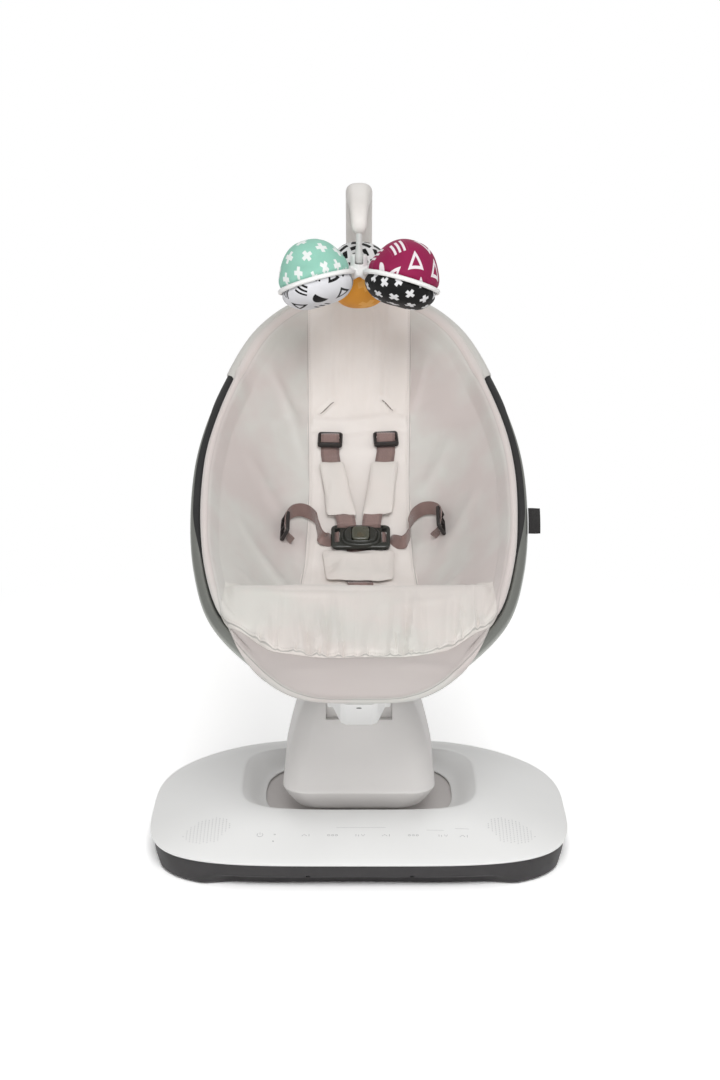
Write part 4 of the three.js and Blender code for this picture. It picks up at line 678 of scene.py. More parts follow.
def printed(name, base, ink, motif, cell):
    """Printed cotton: a plain ground with small generic motifs, one to a cell and each turned its own way."""
    f = Finish(name, Sheen_Weight=0.05, Sheen_Roughness=0.5, Specular_IOR_Level=0.25)
    grid = f.node("VectorMath", f.place("print"), (1 / (cell * MM),) * 3, operation="MULTIPLY")
    parts = f.node("SeparateXYZ", grid).node.outputs
    row = f.math("FLOOR", parts[1])
    along = f.math("ADD", parts[0], f.times(row, 0.5))
    home = f.node("CombineXYZ", f.math("FLOOR", along), row, 0)
    chance = f.node("TexWhiteNoise", home, noise_dimensions="3D")
    other_chance = f.node("TexWhiteNoise", f.node("VectorMath", home, (7.3, 3.1, 0), operation="ADD"),
                          noise_dimensions="3D")
    local = f.node("CombineXYZ", f.math("SUBTRACT", f.math("FRACT", along), 0.5),
                   f.math("SUBTRACT", f.math("FRACT", parts[1]), 0.5), 0)
    turned = f.node("VectorRotate", local, (0, 0, 0), (0, 0, 1), f.times(chance, 6.28),
                    rotation_type="AXIS_ANGLE")
    x, y = f.node("SeparateXYZ", turned).node.outputs[:2]
    ax, ay = f.math("ABSOLUTE", x), f.math("ABSOLUTE", y)
    if motif == "crosses":
        arm = f.math("MINIMUM", ax, ay)
        reach = f.math("MAXIMUM", ax, ay)
        mark = f.times(f.between(arm, 0.095, 0.115, 1, 0), f.between(reach, 0.29, 0.31, 1, 0))
    elif motif == "checks":
        mark = f.times(f.between(ax, 0.22, 0.24, 1, 0), f.between(ay, 0.40, 0.42, 1, 0))
    else:
        radius = f.node("VectorMath", turned, operation="LENGTH", out=1)
        slant = f.math("ADD", f.times(ax, 0.866), f.times(y, 0.5))
        three = f.math("MAXIMUM", slant, f.times(y, -1.0))
        ring = f.times(f.between(three, 0.22, 0.23, 1, 0), f.between(three, 0.11, 0.12, 0, 1))
        half = f.times(f.between(radius, 0.36, 0.38, 1, 0), f.between(y, -0.01, 0.01, 0, 1))
        bars = f.times(f.between(f.math("MAXIMUM", ax, ay), 0.30, 0.32, 1, 0),
                      f.between(f.math("PINGPONG", y, 0.09), 0.04, 0.05, 1, 0))
        first = f.between(other_chance, 0.36, 0.361)
        second = f.between(other_chance, 0.70, 0.701)
        mark = f.math("ADD", f.times(ring, f.math("SUBTRACT", 1.0, first)),
                      f.math("ADD", f.times(half, f.math("SUBTRACT", first, second)),
                             f.times(bars, second)))
    solid = f.place()
    thread = f.noise(solid, 1500, 1, 0.6)
    slow = f.noise(solid, 30, 3)
    ground = f.mix(f.between(slow, 0.3, 0.7), tint(base, 0.90), tint(base, 1.05))
    ground = f.mix(f.between(thread, 0.3, 0.7, 0, 0.25), ground, tint(base, 0.75))
    f.colour(f.mix(mark, ground, ink))
    f.rough(f.between(thread, 0.3, 0.7, 0.62, 0.78))
    f.bumps((thread, 0.06), (slow, 0.8), (mark, 0.02))
    return f.material


FINISHES = {}


def finish(name):
    """A finish by its name, made when it is first asked for."""
    if name not in FINISHES:
        FINISHES[name] = RECIPES[name]()
    return FINISHES[name]


RECIPES = {
    "white shell": lambda: moulded("white_shell", colours().white_shell, 0.42, 0.02, mottle=0.012,
                                   Coat_Weight=0.12, Coat_Roughness=0.3),
    "grey shell": lambda: moulded("grey_shell", colours().grey_shell, 0.5, 0.035, mottle=0.02),
    "bar": lambda: moulded("bar_grey", shade(216, 212, 208), 0.5, 0.025, mottle=0.012),
    "shield": lambda: moulded("shield_grey", shade(196, 191, 189), 0.55, 0.04),
    "pan": lambda: moulded("pan_grey", colours().pan, 0.6, 0.07, 900),
    "black": lambda: moulded("black_plastic", shade(38, 34, 33), 0.42, 0.04),
    # Painted shade: black for the rail's slot, which is a disc and not an opening.
    "hole": lambda: moulded("slot_shade_black", shade(20, 20, 20), 0.8, 0.03),
    # Painted shade of the sound holes: grey discs stand in for the shade inside the holes.
    "dots": lambda: moulded("sound_hole_shade", shade(176, 176, 178), 0.8, 0.03),
    "icons": lambda: moulded("icon_grey", shade(168, 168, 170), 0.6, 0.02),
    "rubber": lambda: moulded("foot_rubber", shade(30, 30, 30), 0.82, 0.12, 700),
    "nylon": lambda: moulded("gear_nylon", shade(226, 220, 200), 0.45, 0.03, Subsurface_Weight=0.05),
    "board": lambda: moulded("circuit_board", shade(44, 92, 58), 0.35, 0.06, 500),
    "pin": lambda: moulded("pin_frosted", shade(204, 205, 203), 0.3, 0.02),
    "buckle": lambda: moulded("buckle_grey", colours().buckle, 0.3, 0.03),
    "button": lambda: moulded("button_grey", shade(74, 75, 64), 0.28, 0.02, Coat_Weight=0.4,
                              Coat_Roughness=0.2),
    "motor": lambda: metal("motor_can", shade(150, 153, 156), 0.38, (1, 1, 12)),
    "steel": lambda: metal("ground_steel", shade(190, 190, 190), 0.28, (40, 1, 1)),
    "tube": lambda: metal("ring_tube", shade(158, 160, 155), 0.36, (1, 1, 18)),
    "mirror": lambda: metal("toy_mirror", shade(228, 230, 234), 0.06, (1, 1, 1)),
    # rim=True paints light and shade on the rim: a lighter crest, a darker outer wrap and a darker band at
    # the foot.
    "cover": lambda: woven("cover_cloth", colours().cloth_sides, shade(204, 204, 199), rim=True,
                           seams=((0.0, False), (3.2, True))),
    "panel": lambda: woven("panel_cloth", colours().cloth, shade(226, 220, 216),
                           seams=((0.7, False), (3.2, True))),
    # Painted shade of the strap slits in the panel.
    "slot": lambda: woven("slit_shade_cloth", shade(136, 126, 122), shade(150, 142, 138), uv=None),
    "pad": lambda: woven("pad_cloth", shade(216, 208, 203), shade(212, 207, 202), sheen=0.4),
    "bolster": lambda: woven("bolster_cloth", shade(216, 209, 204), shade(211, 210, 204),
                             seams=((2.5, False), (6.0, True))),
    "sling": lambda: woven("sling_cloth", shade(34, 34, 35), shade(42, 41, 41), pitch=1.4, sheen=0.15),
    "label": lambda: woven("label_cloth", shade(26, 24, 24), shade(32, 30, 30), pitch=0.5, sheen=0.2),
    "webbing": lambda: webbing("strap_webbing", colours().webbing),
    "mint": lambda: printed("toy_mint", colours().mint, shade(228, 232, 230), "crosses", 24),
    "white shapes": lambda: printed("toy_white", shade(222, 222, 226), shade(14, 12, 14), "shapes", 33),
    "magenta": lambda: printed("toy_magenta", colours().magenta, shade(230, 222, 226), "shapes", 33),
    "black crosses": lambda: printed("toy_black", shade(9, 9, 10), shade(220, 220, 222), "crosses", 24),
    "checks": lambda: printed("toy_checks", shade(226, 226, 226), shade(12, 11, 12), "checks", 16),
    "orange": lambda: printed("toy_orange", colours().orange, shade(228, 168, 84), "crosses", 40),
}


# ---------------- base
BASE_HALF_WIDTH = 247.5
BASE_FRONT = 190
BASE_BACK = 212
BASE_CENTRE = np.array([0.0, -20.0])
WALL = 2.5


def base_outline(inset=0.0):
    return superellipse(BASE_HALF_WIDTH - inset, BASE_FRONT - inset, BASE_BACK - inset, 4.2, 2.5,
                        BASE_CENTRE[1])


def cover_rise(t):
    """Height of the base's top from its rim (0) to its crest (1)."""
    return 33 + 24 * np.sin(np.pi / 2 * np.clip(t, 0, 1)) ** 0.85


def make_base_cover():
    """White top of the base: rim, crowned top, crest, and the dished recess down to its mouth."""
    rim = base_outline()
    crest = even_outline(141, 105, 4.2, 160)
    mouth = even_outline(113, 98, 2.8, 160)
    lip = WALL / BASE_HALF_WIDTH
    sections = [at_height(lerp(rim, BASE_CENTRE, t), z) for t, z in
                ((lip, 30.3), (lip / 3, 30.3), (lip / 8, 30.8), (0.0, 32.0))]
    sections += [at_height(lerp(rim, crest, t), cover_rise(t)) for t in
                 (0, 0.006, 0.015, 0.03, 0.06, 0.1, 0.16, 0.23, 0.32, 0.42, 0.53, 0.64, 0.75, 0.85, 0.92,
                  0.965)]
    sections += [at_height(lerp(crest, mouth, t), z) for t, z in
                 ((0.0, 56.9), (0.03, 56.3), (0.07, 55.4), (0.13, 54.3), (0.22, 52.7), (0.34, 50.2),
                  (0.48, 46.9), (0.62, 43.6), (0.75, 41.0), (0.87, 39.2), (0.96, 38.3), (1.0, 37.9),
                  (1.01, 37.2), (1.0, 36.5), (0.75, 37.6), (0.1, 50.4))]
    sections += [at_height(lerp(rim, crest, t), cover_rise(t) - WALL) for t in (0.97, 0.6, 0.3, 0.12)]
    cover = loft("cover_top", sections, around=True)
    return dress(cover, "base", "white shell", ["base_cover"], smooth=50)


def make_pan():
    """Dark pan: a band under the cover, drawn in below it except at the four foot blocks."""
    outline = base_outline()
    foot = np.zeros(len(outline))
    for x, y, reach in ((213, -170, 34), (-213, -170, 34), (176, 150, 40), (-176, 150, 40)):
        foot = np.maximum(foot, 1 - ease((np.hypot(outline[:, 0] - x, outline[:, 1] - y) - reach) / 34))
    inward = unit(BASE_CENTRE - outline)
    # Rows of inset between and at the foot blocks, then height between and at them.
    rings = [(6.2, 6.2, 30, 30), (3.2, 3.2, 30, 30), (3.0, 3.0, 29.4, 29.4), (3.6, 3.6, 24, 24),
             (4.6, 4.2, 18, 18), (5.4, 4.8, 15.5, 13), (9.0, 5.4, 13.5, 9), (16, 6.2, 11, 5.5),
             (21, 7.2, 8, 2.6), (23, 9, 4, 1.5), (24.5, 13, 1.6, 1.2), (30, 40, 1.2, 1.2), (48, 60, 5, 5),
             (120, 120, 5, 5), (121, 121, 8, 8), (50, 62, 8, 8), (36, 44, 8.6, 8), (9.5, 11.5, 17, 18.5)]
    pan = loft("pan", [np.column_stack([outline + inward * lerp(free, at_foot, foot)[:, None],
                                        lerp(free_z, foot_z, foot)])
                       for free, at_foot, free_z, foot_z in rings], around=True)
    floor = loft("pan_floor", [at_height(base_outline(119), z) for z in (5.6, 8)])
    posts = []
    for x, y in ((-128, -62), (-128, 62), (128, -62), (128, 62)):
        post = block("post", (x - 6, y - 8, 7.5), (x + 6, y + 8, 24), 1)
        subtract(post, cylinder("bore", 4.3, 40, (x, y, 17), "x"))
        posts.append(post)
    for x, y, z in ((-166, -204, 15.5), (-58, -205, 15), (60.5, -205, 15), (169.6, -204, 15.5)):
        subtract(pan, cylinder("bore", 2.6, 15, (x, y, z), "y", 20))
    pan = join("pan", pan, floor, *posts)
    dress(pan, "base", "pan", ["base_pan"], smooth=40)


def drop_on(obj, places):
    """Heights of the cover's top at places (x, y)."""
    tree = tree_of(obj)
    heights = []
    for x, y in places:
        start = Vector(frame_point((x, y, 200)))
        heights.append(tree.ray_cast(start, Vector((0, 0, -1)))[0].z / MM)
    return heights


GRILLE = [(147, -141), (152, -128), (162, -118), (187, -123), (198, -138), (205, -151), (194, -169),
          (164, -171)]
HOLE_PITCH = 4.1
# How far the sound holes, the control marks and the rail's slot stand off the shell below them.
FILM = 0.12


def inside(x, y, corners):
    """Whether a place lies in an outline that bulges outwards everywhere."""
    ahead = np.roll(corners, -1, 0) - np.array(corners)
    away = np.array([x, y]) - np.array(corners)
    return bool(np.all(ahead[:, 0] * away[:, 1] - ahead[:, 1] * away[:, 0] < 0))


def make_grilles(cover):
    """Leaf-shaped fields of small sound holes over the two speakers, each a thin grey disc on the shell:
    painted shade where a hole goes in.
    """
    for side, name in ((-1, "grille_left"), (1, "grille_right")):
        holes = []
        for column in range(15):
            for k in range(16):
                x, y = 146 + HOLE_PITCH * column, -118 - HOLE_PITCH * (k + 0.5 * (column % 2))
                if inside(x, y, GRILLE):
                    holes.append((side * x, y))
        heights = drop_on(cover, holes)
        deselect()
        discs = []
        for (x, y), z in zip(holes, heights):
            bpy.ops.mesh.primitive_circle_add(vertices=8, radius=sizes().grille_hole, fill_type="NGON",
                                              location=frame_point((x, y, z + FILM)))
            discs.append(bpy.context.object)
            bpy.ops.object.transform_apply(location=True)
        grille = join(name, *discs)
        thicken(grille, 0.1, -1)
        dress(grille, "base", "dots", smooth=0)


def stroke(points, width):
    """Flat printed line through a few places, as its left and right edges."""
    points = np.array(points, float)
    ahead = unit(np.gradient(points, axis=0))
    sideways = np.stack([-ahead[:, 1], ahead[:, 0]], axis=1) * width / 2
    return points - sideways, points + sideways


def icon_strokes():
    """Control marks in rows across the front of the base: their points and the width of their line."""
    def circle(x, y, r, start=0, end=360):
        turn = np.radians(np.linspace(start, end, 20))
        return np.column_stack([x + r * np.sin(turn), y + r * np.cos(turn)])
    marks = [circle(-114, -162, 3.4, 40, 320), [(-114, -157.6), (-114, -161.4)]]
    marks += [circle(-97, -162, 0.9), circle(-98.5, -174, 0.8)]
    y = -164
    for k, x in enumerate((-61, -31, 0.5, 31.5, 62, 96, 121)):
        if k % 3 == 0:
            marks += [[(x - 5, y - 1.5), (x - 2, y + 1.5), (x + 1, y - 1.5)],
                      [(x + 3.5, y - 2), (x + 3.5, y + 2)]]
        elif k % 3 == 1:
            marks += [circle(x - 4, y, 1.3), circle(x + 0.6, y, 1.3), circle(x + 5, y, 1.3)]
        else:
            marks += [[(x - 4, y - 2), (x - 4, y + 2)], [(x - 1, y - 2), (x - 1, y + 1)],
                      [(x + 2, y + 1.6), (x + 4, y - 1.6), (x + 6, y + 1.6)]]
    bars = [np.column_stack([np.linspace(start, end, count), np.full(count, y)])
            for start, end, y, count in ((-26, 31, -148.7, 24), (78, 98, -154.0, 10), (111, 127, -150.0, 8))]
    return [(mark, 0.5) for mark in marks] + [(bar, 0.3) for bar in bars]


def make_icons(cover):
    pieces = []
    for k, (mark, width) in enumerate(icon_strokes()):
        rows = [np.column_stack([edge, np.array(drop_on(cover, edge)) + FILM])
                for edge in stroke(mark, width)]
        pieces.append(surface(f"mark_{k}", np.array(rows)))
    marks = join("control_marks", *pieces)
    thicken(marks, 0.1, -1)
    dress(marks, "base", "icons", smooth=0)


def make_feet():
    """Rubber feet: discs with a rounded edge and a grip ring turned into the sole."""
    profile = [(17, 4.7), (17, 1.2), (16.2, 0.3), (15, 0), (12, 0), (11.6, 0.8), (9.4, 0.8), (9, 0), (1, 0)]
    for name, x, y in (("foot_front_left", -196, -136), ("foot_front_right", 196, -136),
                       ("foot_back_left", -168, 108), ("foot_back_right", 168, 108)):
        dress(spin(name + "_pad", profile, (x, y, 0)), "base", "rubber", [name])


def make_base():
    cover = make_base_cover()
    make_pan()
    make_grilles(cover)
    make_icons(cover)
    make_feet()


# ---------------- tower and drive
# Height, half width, front, back and corner radius; the chin is between the third and fourth rows.
TOWER_ROWS = [(50, 75.5, -84, 76, 31), (60, 83, -90, 81, 31), (75, 90, -99, 86, 30), (77, 90, -97.5, 86, 29),
              (87, 89, -90, 85, 26), (103, 86, -82.5, 83, 24), (126, 80.5, -76, 80, 23),
              (149, 74, -70, 76, 22), (167, 67, -65, 74, 21), (192, 55, -56, 72, 20)]
TOWER_WALL = 3.0
KNOB_HEIGHT = 138


def tower_loft(name, inset, heights):
    """The tower's block, or its hollow when it is drawn in by an inset."""
    sections = []
    for z in heights:
        part = TOWER_ROWS[:3] if z <= 75 else TOWER_ROWS[3:]
        half, front, back, corner = (smooth_through([(r[0], r[k]) for r in part], z) for k in (1, 2, 3, 4))
        edge = inset + (1.4 * (1 - min((z - 50) / 1.2, 1)) ** 2 if 50 <= z < 51.3 and not inset else 0)
        outline = rounded_block(half - edge, front + edge, back - edge, max(corner - edge, 2), 12)
        sections.append(at_height(outline, z))
    return loft(name, sections)


def rail_drum(radius, half):
    """Fine round bar about the recline axis, to cut the saddle with."""
    return cylinder("drum", radius, 2 * half, (0, *RAIL_AXIS), "x", 360)


def make_tower():
    """Grey tower: flared toe, chin, flat front, and the curved saddle that the rail's guide sits in."""
    heights = [50, 50.4, 51.2, 54, 58, 62, 67, 71, 75, 77, 79, 82, 86, 91, 97, 103, 110, 118, 126, 134, 142,
               149, 156, 163, 170, 178, 185, 192]
    tower = tower_loft("tower", 0.0, heights)
    hollow = tower_loft("hollow", TOWER_WALL, [49, *heights[3:]])
    for shape, wall in ((tower, 0), (hollow, TOWER_WALL)):
        subtract(shape, rail_drum(SLOT_RADIUS + wall, SLOT_HALF + wall))
        subtract(shape, rail_drum(CHEEK_RADIUS + wall, 200))
    subtract(tower, hollow)
    subtract(tower, cylinder("bore", 5.6, 60, (0, 80, KNOB_HEIGHT), "y", 32))
    bevel_edges(tower, 0.8, 2, 55, use_clamp_overlap=True)
    dress(tower, "lift_platform", "grey shell", ["tower_shell"], smooth=28)


def make_neck():
    """Sleeve-like neck under the tower, with its flange inside the chin."""
    outer = even_outline(71.5, 52, 2.8, 96)
    inner = even_outline(69, 49.5, 2.8, 96)
    corners = rounded_block(72, -80.5, 72.5, 28, 23)
    flange = spaced(np.vstack([corners, corners[:1]]), 97)[:-1]
    sections = [at_height(outline, z) for outline, z in
                ((outer * 0.995, 29), (outer, 29.8), (outer, 40), (outer, 51), (flange, 51.2), (flange, 54),
                 (inner, 54), (inner, 40), (inner, 29))]
    neck = loft("neck", sections, around=True)
    dress(neck, "lift_platform", "grey shell", ["tower_neck"])


def make_knob():
    """Clamp knob on the tower's back: a lobed grip with a raised pointer and a dished face."""
    angle = full_turn(120)
    reach = 20 - 1.2 * (1 + np.cos(10 * angle))
    back = float(smooth_through([(r[0], r[3]) for r in TOWER_ROWS[3:]], 118)) + 0.6
    sections = []
    for depth, size in ((0, 0.88), (0.6, 0.93), (2, 1.0), (11, 1.0), (14, 0.97), (15.4, 0.91), (16, 0.84),
                        (15.6, 0.74), (14.6, 0.60), (14.2, 0.3)):
        sections.append(np.column_stack([np.cos(angle) * reach * size, np.full(120, back + depth),
                                         KNOB_HEIGHT + np.sin(angle) * reach * size]))
    knob = loft("knob", sections)
    pointer = block("pointer", (-1.4, back + 14, KNOB_HEIGHT + 2), (1.4, back + 16, KNOB_HEIGHT + 16), 0.6)
    shaft = cylinder("shaft", 5, back - 46, (0, (back + 50) / 2, KNOB_HEIGHT), "y", 32, 0.4)
    cam = cylinder("cam", 6, 12, (0, 50, KNOB_HEIGHT + 1), "y", 32, 0.4)
    knob = join("knob", knob, pointer, shaft, cam)
    dress(knob, "recline_knob", "pan", ["recline_knob"])


def channel(outside, inside, radius):
    """Closed outline of a channel whose right half is given as (x, radius) rows."""
    left_outside, left_inside = ([(-x, r) for x, r in reversed(rows)] for rows in (outside, inside))
    return softened([*outside, *left_outside, *left_inside, *inside], radius)


def make_rail():
    """Curved seat rail: white channel with flanges, chines and a flat keel, and the slot in its keel, drawn
    as a thin black disc: painted shade of the open slot.
    """
    top = RAIL_TOP
    outline = channel([(35, top), (35, top + 6), (29.5, top + 6), (20.5, 364.5), (14, RAIL_RADIUS)],
                      [(13, 364), (17.5, 361.5), (26.5, top + 6), (26.5, top)], 1.1)
    rail = loft("rail", [sweep_arc(outline, angle)
                         for angle in np.linspace(RAIL_FOOT_ANGLE, RAIL_HEAD_ANGLE, 150)])
    dress(rail, "seat", "white shell", ["seat_rail"], smooth=30)
    # The slot is a black disc laid on the keel: painted shade of the opening.
    slot = cylinder("rail_slot", 1.3, 0.5, (0, 0, 0), "z", 20)
    slot.scale = (2.2, 1, 1)
    pick(slot)
    bpy.ops.object.transform_apply(location=False, rotation=False, scale=True)
    angle = -38.0
    turn = math.radians(angle)
    lay(slot, np.array([0, *on_arc(angle, RAIL_RADIUS + FILM)]), ACROSS,
        np.array([0, math.cos(turn), math.sin(turn)]), np.array([0, math.sin(turn), -math.cos(turn)]))
    dress(slot, "seat", "hole")


def make_guide():
    """Grey guide that cradles the rail in the tower's saddle."""
    top, lip = RAIL_TOP, RAIL_TOP - 0.6 - 4
    outline = channel([(SLOT_HALF - 0.3, lip), (SLOT_HALF - 0.3, SLOT_RADIUS - 0.3)],
                      [(14, 367.6), (21.1, 365.1), (30.1, top + 6.6), (35.6, top + 6.6), (35.6, top - 0.6),
                       (31, top - 0.6), (31, lip)], 0.5)
    guide = loft("guide", [sweep_arc(outline, angle) for angle in np.linspace(-1.6, 18.4, 40)])
    subtract(guide, cylinder("bore", 6.3, 80, (0, 50, 178), "z", 32))
    dress(guide, "lift_platform", "grey shell", ["rail_guide"])


def dress_hidden():
    """The drive, the toy bar's socket and the mirror keep their drawn shape and get their finishes."""
    looks = {
        "board": ["control_board"], "black": ["speaker_left", "speaker_right", "power_inlet", "lift_frame"],
        "steel": ["sway_rod_front", "sway_rod_rear", "carriage_plate", "guide_column_left",
                  "guide_column_right", "lift_spring_left", "lift_spring_right"],
        "nylon": ["sway_rack", "sway_pinion", "lift_pinion", "lift_rack", "clamp_shoe"],
        "shield": ["dust_shield"], "grey shell": ["mast_sleeve", "bar_socket"],
        "motor": ["sway_motor", "lift_motor"], "mirror": ["toy_mirror"],
    }
    for look, nodes in looks.items():
        for name in nodes:
            coat(frame["nodes"][name], look)


# ---------------- ring and toy bar
def make_ring():
    """Bent tube that holds the seat cloth, its two ends meeting at the foot."""
    steps = 280
    loop = spaced(PLAN, steps + 1)[:-1]
    centre = seat(loop[:, 0], loop[:, 1], rim_sag(loop[:, 0]))
    ahead = unit(np.roll(centre, -1, 0) - np.roll(centre, 1, 0))
    side = unit(np.cross(ahead, OUT))
    up = np.cross(side, ahead)
    turn = full_turn(24)
    sections = [c + RING_TUBE * (np.cos(turn)[:, None] * s + np.sin(turn)[:, None] * u)
                for c, s, u in zip(centre, side, up)]
    ring = loft("ring", sections, around=True)
    dress(ring, "seat", "tube", ["seat_ring"])


def make_toy_bar():
    """Bent bar from the socket to above the seat, and the pin the toys turn on."""
    radius = RAIL_RADIUS - 13
    head = math.radians(RAIL_HEAD_ANGLE)
    socket = np.array(on_arc(RAIL_HEAD_ANGLE, radius))
    start = socket + 24.7 * np.array([math.cos(head), math.sin(head)])
    route = [start, on_arc(112, radius), on_arc(117, radius), on_arc(122.8, radius - 3.1), (215, 741.5),
             (178, 740.5), (150, 731), (136.5, 716), (134, 702)]
    path = spaced(smooth_path(route), 91)
    ahead = unit(np.gradient(path, axis=0))
    ahead[0] = (math.cos(head), math.sin(head))
    sections = []
    for k, (point, way) in enumerate(zip(path, ahead)):
        t = k / 90
        taper = ease((t - 0.56) / 0.42)
        tip = math.sqrt(1 - max(0, (t - 0.955) / 0.047) ** 2)
        foot = 1 - 0.05 * max(0, 1 - k / 1.5)
        outline = even_outline(lerp(16.5, 9.5, taper) * tip * foot, lerp(13.0, 8.0, taper) * tip * foot,
                               lerp(2.3, 3.0, ease((t - 0.5) / 0.2)), 48)
        across = np.array([-way[1], way[0]])
        sections.append(np.column_stack([outline[:, 0], point[0] + across[0] * outline[:, 1],
                                         point[1] + across[1] * outline[:, 1]]))
    bar = loft("toy_bar_shell", sections)
    turn_outwards(bar)
    subtract(bar, cylinder("bore", 3.7, 30, (0, MOBILE_Y, 700), "z", 32))
    dress(bar, "toy_bar", "bar", ["toy_bar"], smooth=45)
    pin = spin("toy_pin", [(1, 710), (2.8, 710), (3.6, 709.4), (3.6, 688), (3.9, 686), (4.4, 679),
                           (5.3, 677.5), (5.3, 669), (4.6, 667.4), (1, 667)], (0, MOBILE_Y, 0))
    dress(pin, "toy_bar", "pin", ["mobile_pin"], smooth=40)


# ---------------- seat cloth
# Sections of the padded rim as (inward, above) from where the cloth leaves the tube.
HEAD_CREST = [(0, 11), (3.5, 11), (8, 10), (12.5, 7.6), (17.5, 3.5), (25, -4.5)]
SIDE_CREST = [(4.4, 10.2), (4.9, 13), (8.5, 14.9), (12.5, 13.6), (17, 8.5), (25, -8)]
FOOT_CREST = [(-1.5, 11.2), (6, 14.6), (16, 17.6), (26, 19.2), (34, 18.2), (39, 14)]
# Columns of the cloth's grid round the seat, its rows round the tube and over the crest, and the way round.
COLUMNS = 360
WRAP_ROWS = 12
CREST_ROWS = 18
RIM_LENGTH = 1750
# The bolster's front edge as (x to either side, u), and the line of its top as (u, n).
LIP = [(0, 36.5), (45, 36.5), (58, 38.5), (67, 41), (80, 45.5), (89, 49.5), (96, 53), (102, 57.5), (114, 69),
       (128, 83), (138, 91), (148, 103), (156, 122)]
BOLSTER_TOP = [(20, 9), (36, 17), (60, 15), (110, 2), (150, -8), (172, -16), (186, -32), (196, -58),
               (204, -90)]
BOLSTER_HALF = 153.2
# The two slots of the panel that the shoulder straps come out of, each from (u, x) to (u, x).
SLOTS = [((515, -49), (530, -31.5)), ((533, 28.4), (519, 42.8))]
# The cloth that other pieces lie on: the cover, the panel and the bolster, once they are made.
LAID = []

# Soft folds of the seat cloth: from (u, x) to (u, x), their half width and their height.
FOLDS = [
    (560, -118, 470, -60, 7, 1.8), (548, -100, 440, -62, 5, 1.3), (520, -66, 470, -110, 6, 1.5),
    (590, 90, 500, 60, 6, 1.4), (470, 118, 400, 70, 9, 1.6), (430, -140, 360, -80, 10, 1.8),
    (380, 150, 300, 90, 9, 1.8), (330, -150, 260, -92, 9, 2.0), (300, -120, 220, -60, 8, 2.4),
    (260, 130, 215, 60, 9, 2.4), (240, -150, 200, -80, 9, 2.0), (360, -72, 290, -66, 7, 1.8),
    (350, 72, 285, 66, 7, 1.8), (280, -84, 205, -96, 6, 2.0), (272, 84, 210, 104, 6, 2.0),
    (620, -60, 560, -92, 7, 1.3), (608, 70, 540, 118, 8, 1.3),
]


def fold_height(u, x):
    """Height of all the soft folds at a place on the seat."""
    total = np.zeros(np.shape(u))
    for u0, x0, u1, x1, width, height in FOLDS:
        du, dx = u1 - u0, x1 - x0
        along = ((u - u0) * du + (x - x0) * dx) / (du * du + dx * dx)
        across = np.abs((u - u0) * dx - (x - x0) * du) / math.hypot(du, dx)
        ends = ease(along / 0.3) * ease((1 - along) / 0.3)
        total += 1.8 * height * hump(across, width) * ends * np.where((along > 0) & (along < 1), 1, 0)
    slow = (0.9 * np.sin(u / 31 + 0.6 * np.sin(x / 27)) * np.sin(x / 39 + 1.3)
            + 0.5 * np.sin(u / 13 + x / 17 + 1.1 * np.sin(u / 41)) * np.sin(x / 23 - u / 57))
    return total + slow


def rim_profile(wrap, crest):
    """Section of the cloth over the tube as (inward, above): round the tube, then over the crest."""
    radius, start, end = wrap
    turn = np.radians(np.linspace(start, end, WRAP_ROWS))
    over = np.column_stack([radius * np.cos(turn), radius * np.sin(turn)])
    return np.concatenate([over, spaced(smooth_path([over[-1], *crest]), CREST_ROWS + 1)[1:]])


def seat_columns():
    """Columns round the seat: place on the tube's centre line and the way inwards."""
    loop = spaced(PLAN, COLUMNS + 1)
    loop = (loop + loop[::-1] * (1, -1)) / 2
    ahead = np.gradient(loop, axis=0)
    ahead[0] = ahead[-1] = (0, 1)
    inward = unit(np.stack([-ahead[:, 1], ahead[:, 0]], axis=1))
    flip = np.sum(inward * (np.array([SEAT_LENGTH / 2, 0]) - loop), axis=1) < 0
    inward[flip] *= -1
    return loop, inward


def rim_seam_at(u):
    """How far inside the tube's centre line the rim seam runs."""
    return np.interp(u, [0, 10, 30, 60, 95, 130, 155], [-10, -9, -7.5, -5, 0, 9, 13])


def seat_grid(loop, inward, a, b, rows, drop, decay):
    """Carries the rim's section on over the bowl to the seat's middle line."""
    u = loop[:, 0] + a * inward[:, 0]
    x = loop[:, 1] + a * inward[:, 1]
    n = rim_sag(loop[:, 0]) + b
    end_u = np.clip(loop[:, 0], 150, SEAT_LENGTH - 130)
    step = np.arange(1, rows + 1)[:, None] / rows
    inner_u = lerp(u[-1], end_u, step)
    inner_x = lerp(x[-1], 0.0, step)
    away = np.hypot(inner_u - u[-1], inner_x - x[-1])
    offset = n[-1] - (bowl(u[-1], x[-1]) - drop)
    inner_n = bowl(inner_u, inner_x) - drop + offset * (1 - ease(away / decay))
    return np.concatenate([u, inner_u]), np.concatenate([x, inner_x]), np.concatenate([n, inner_n])


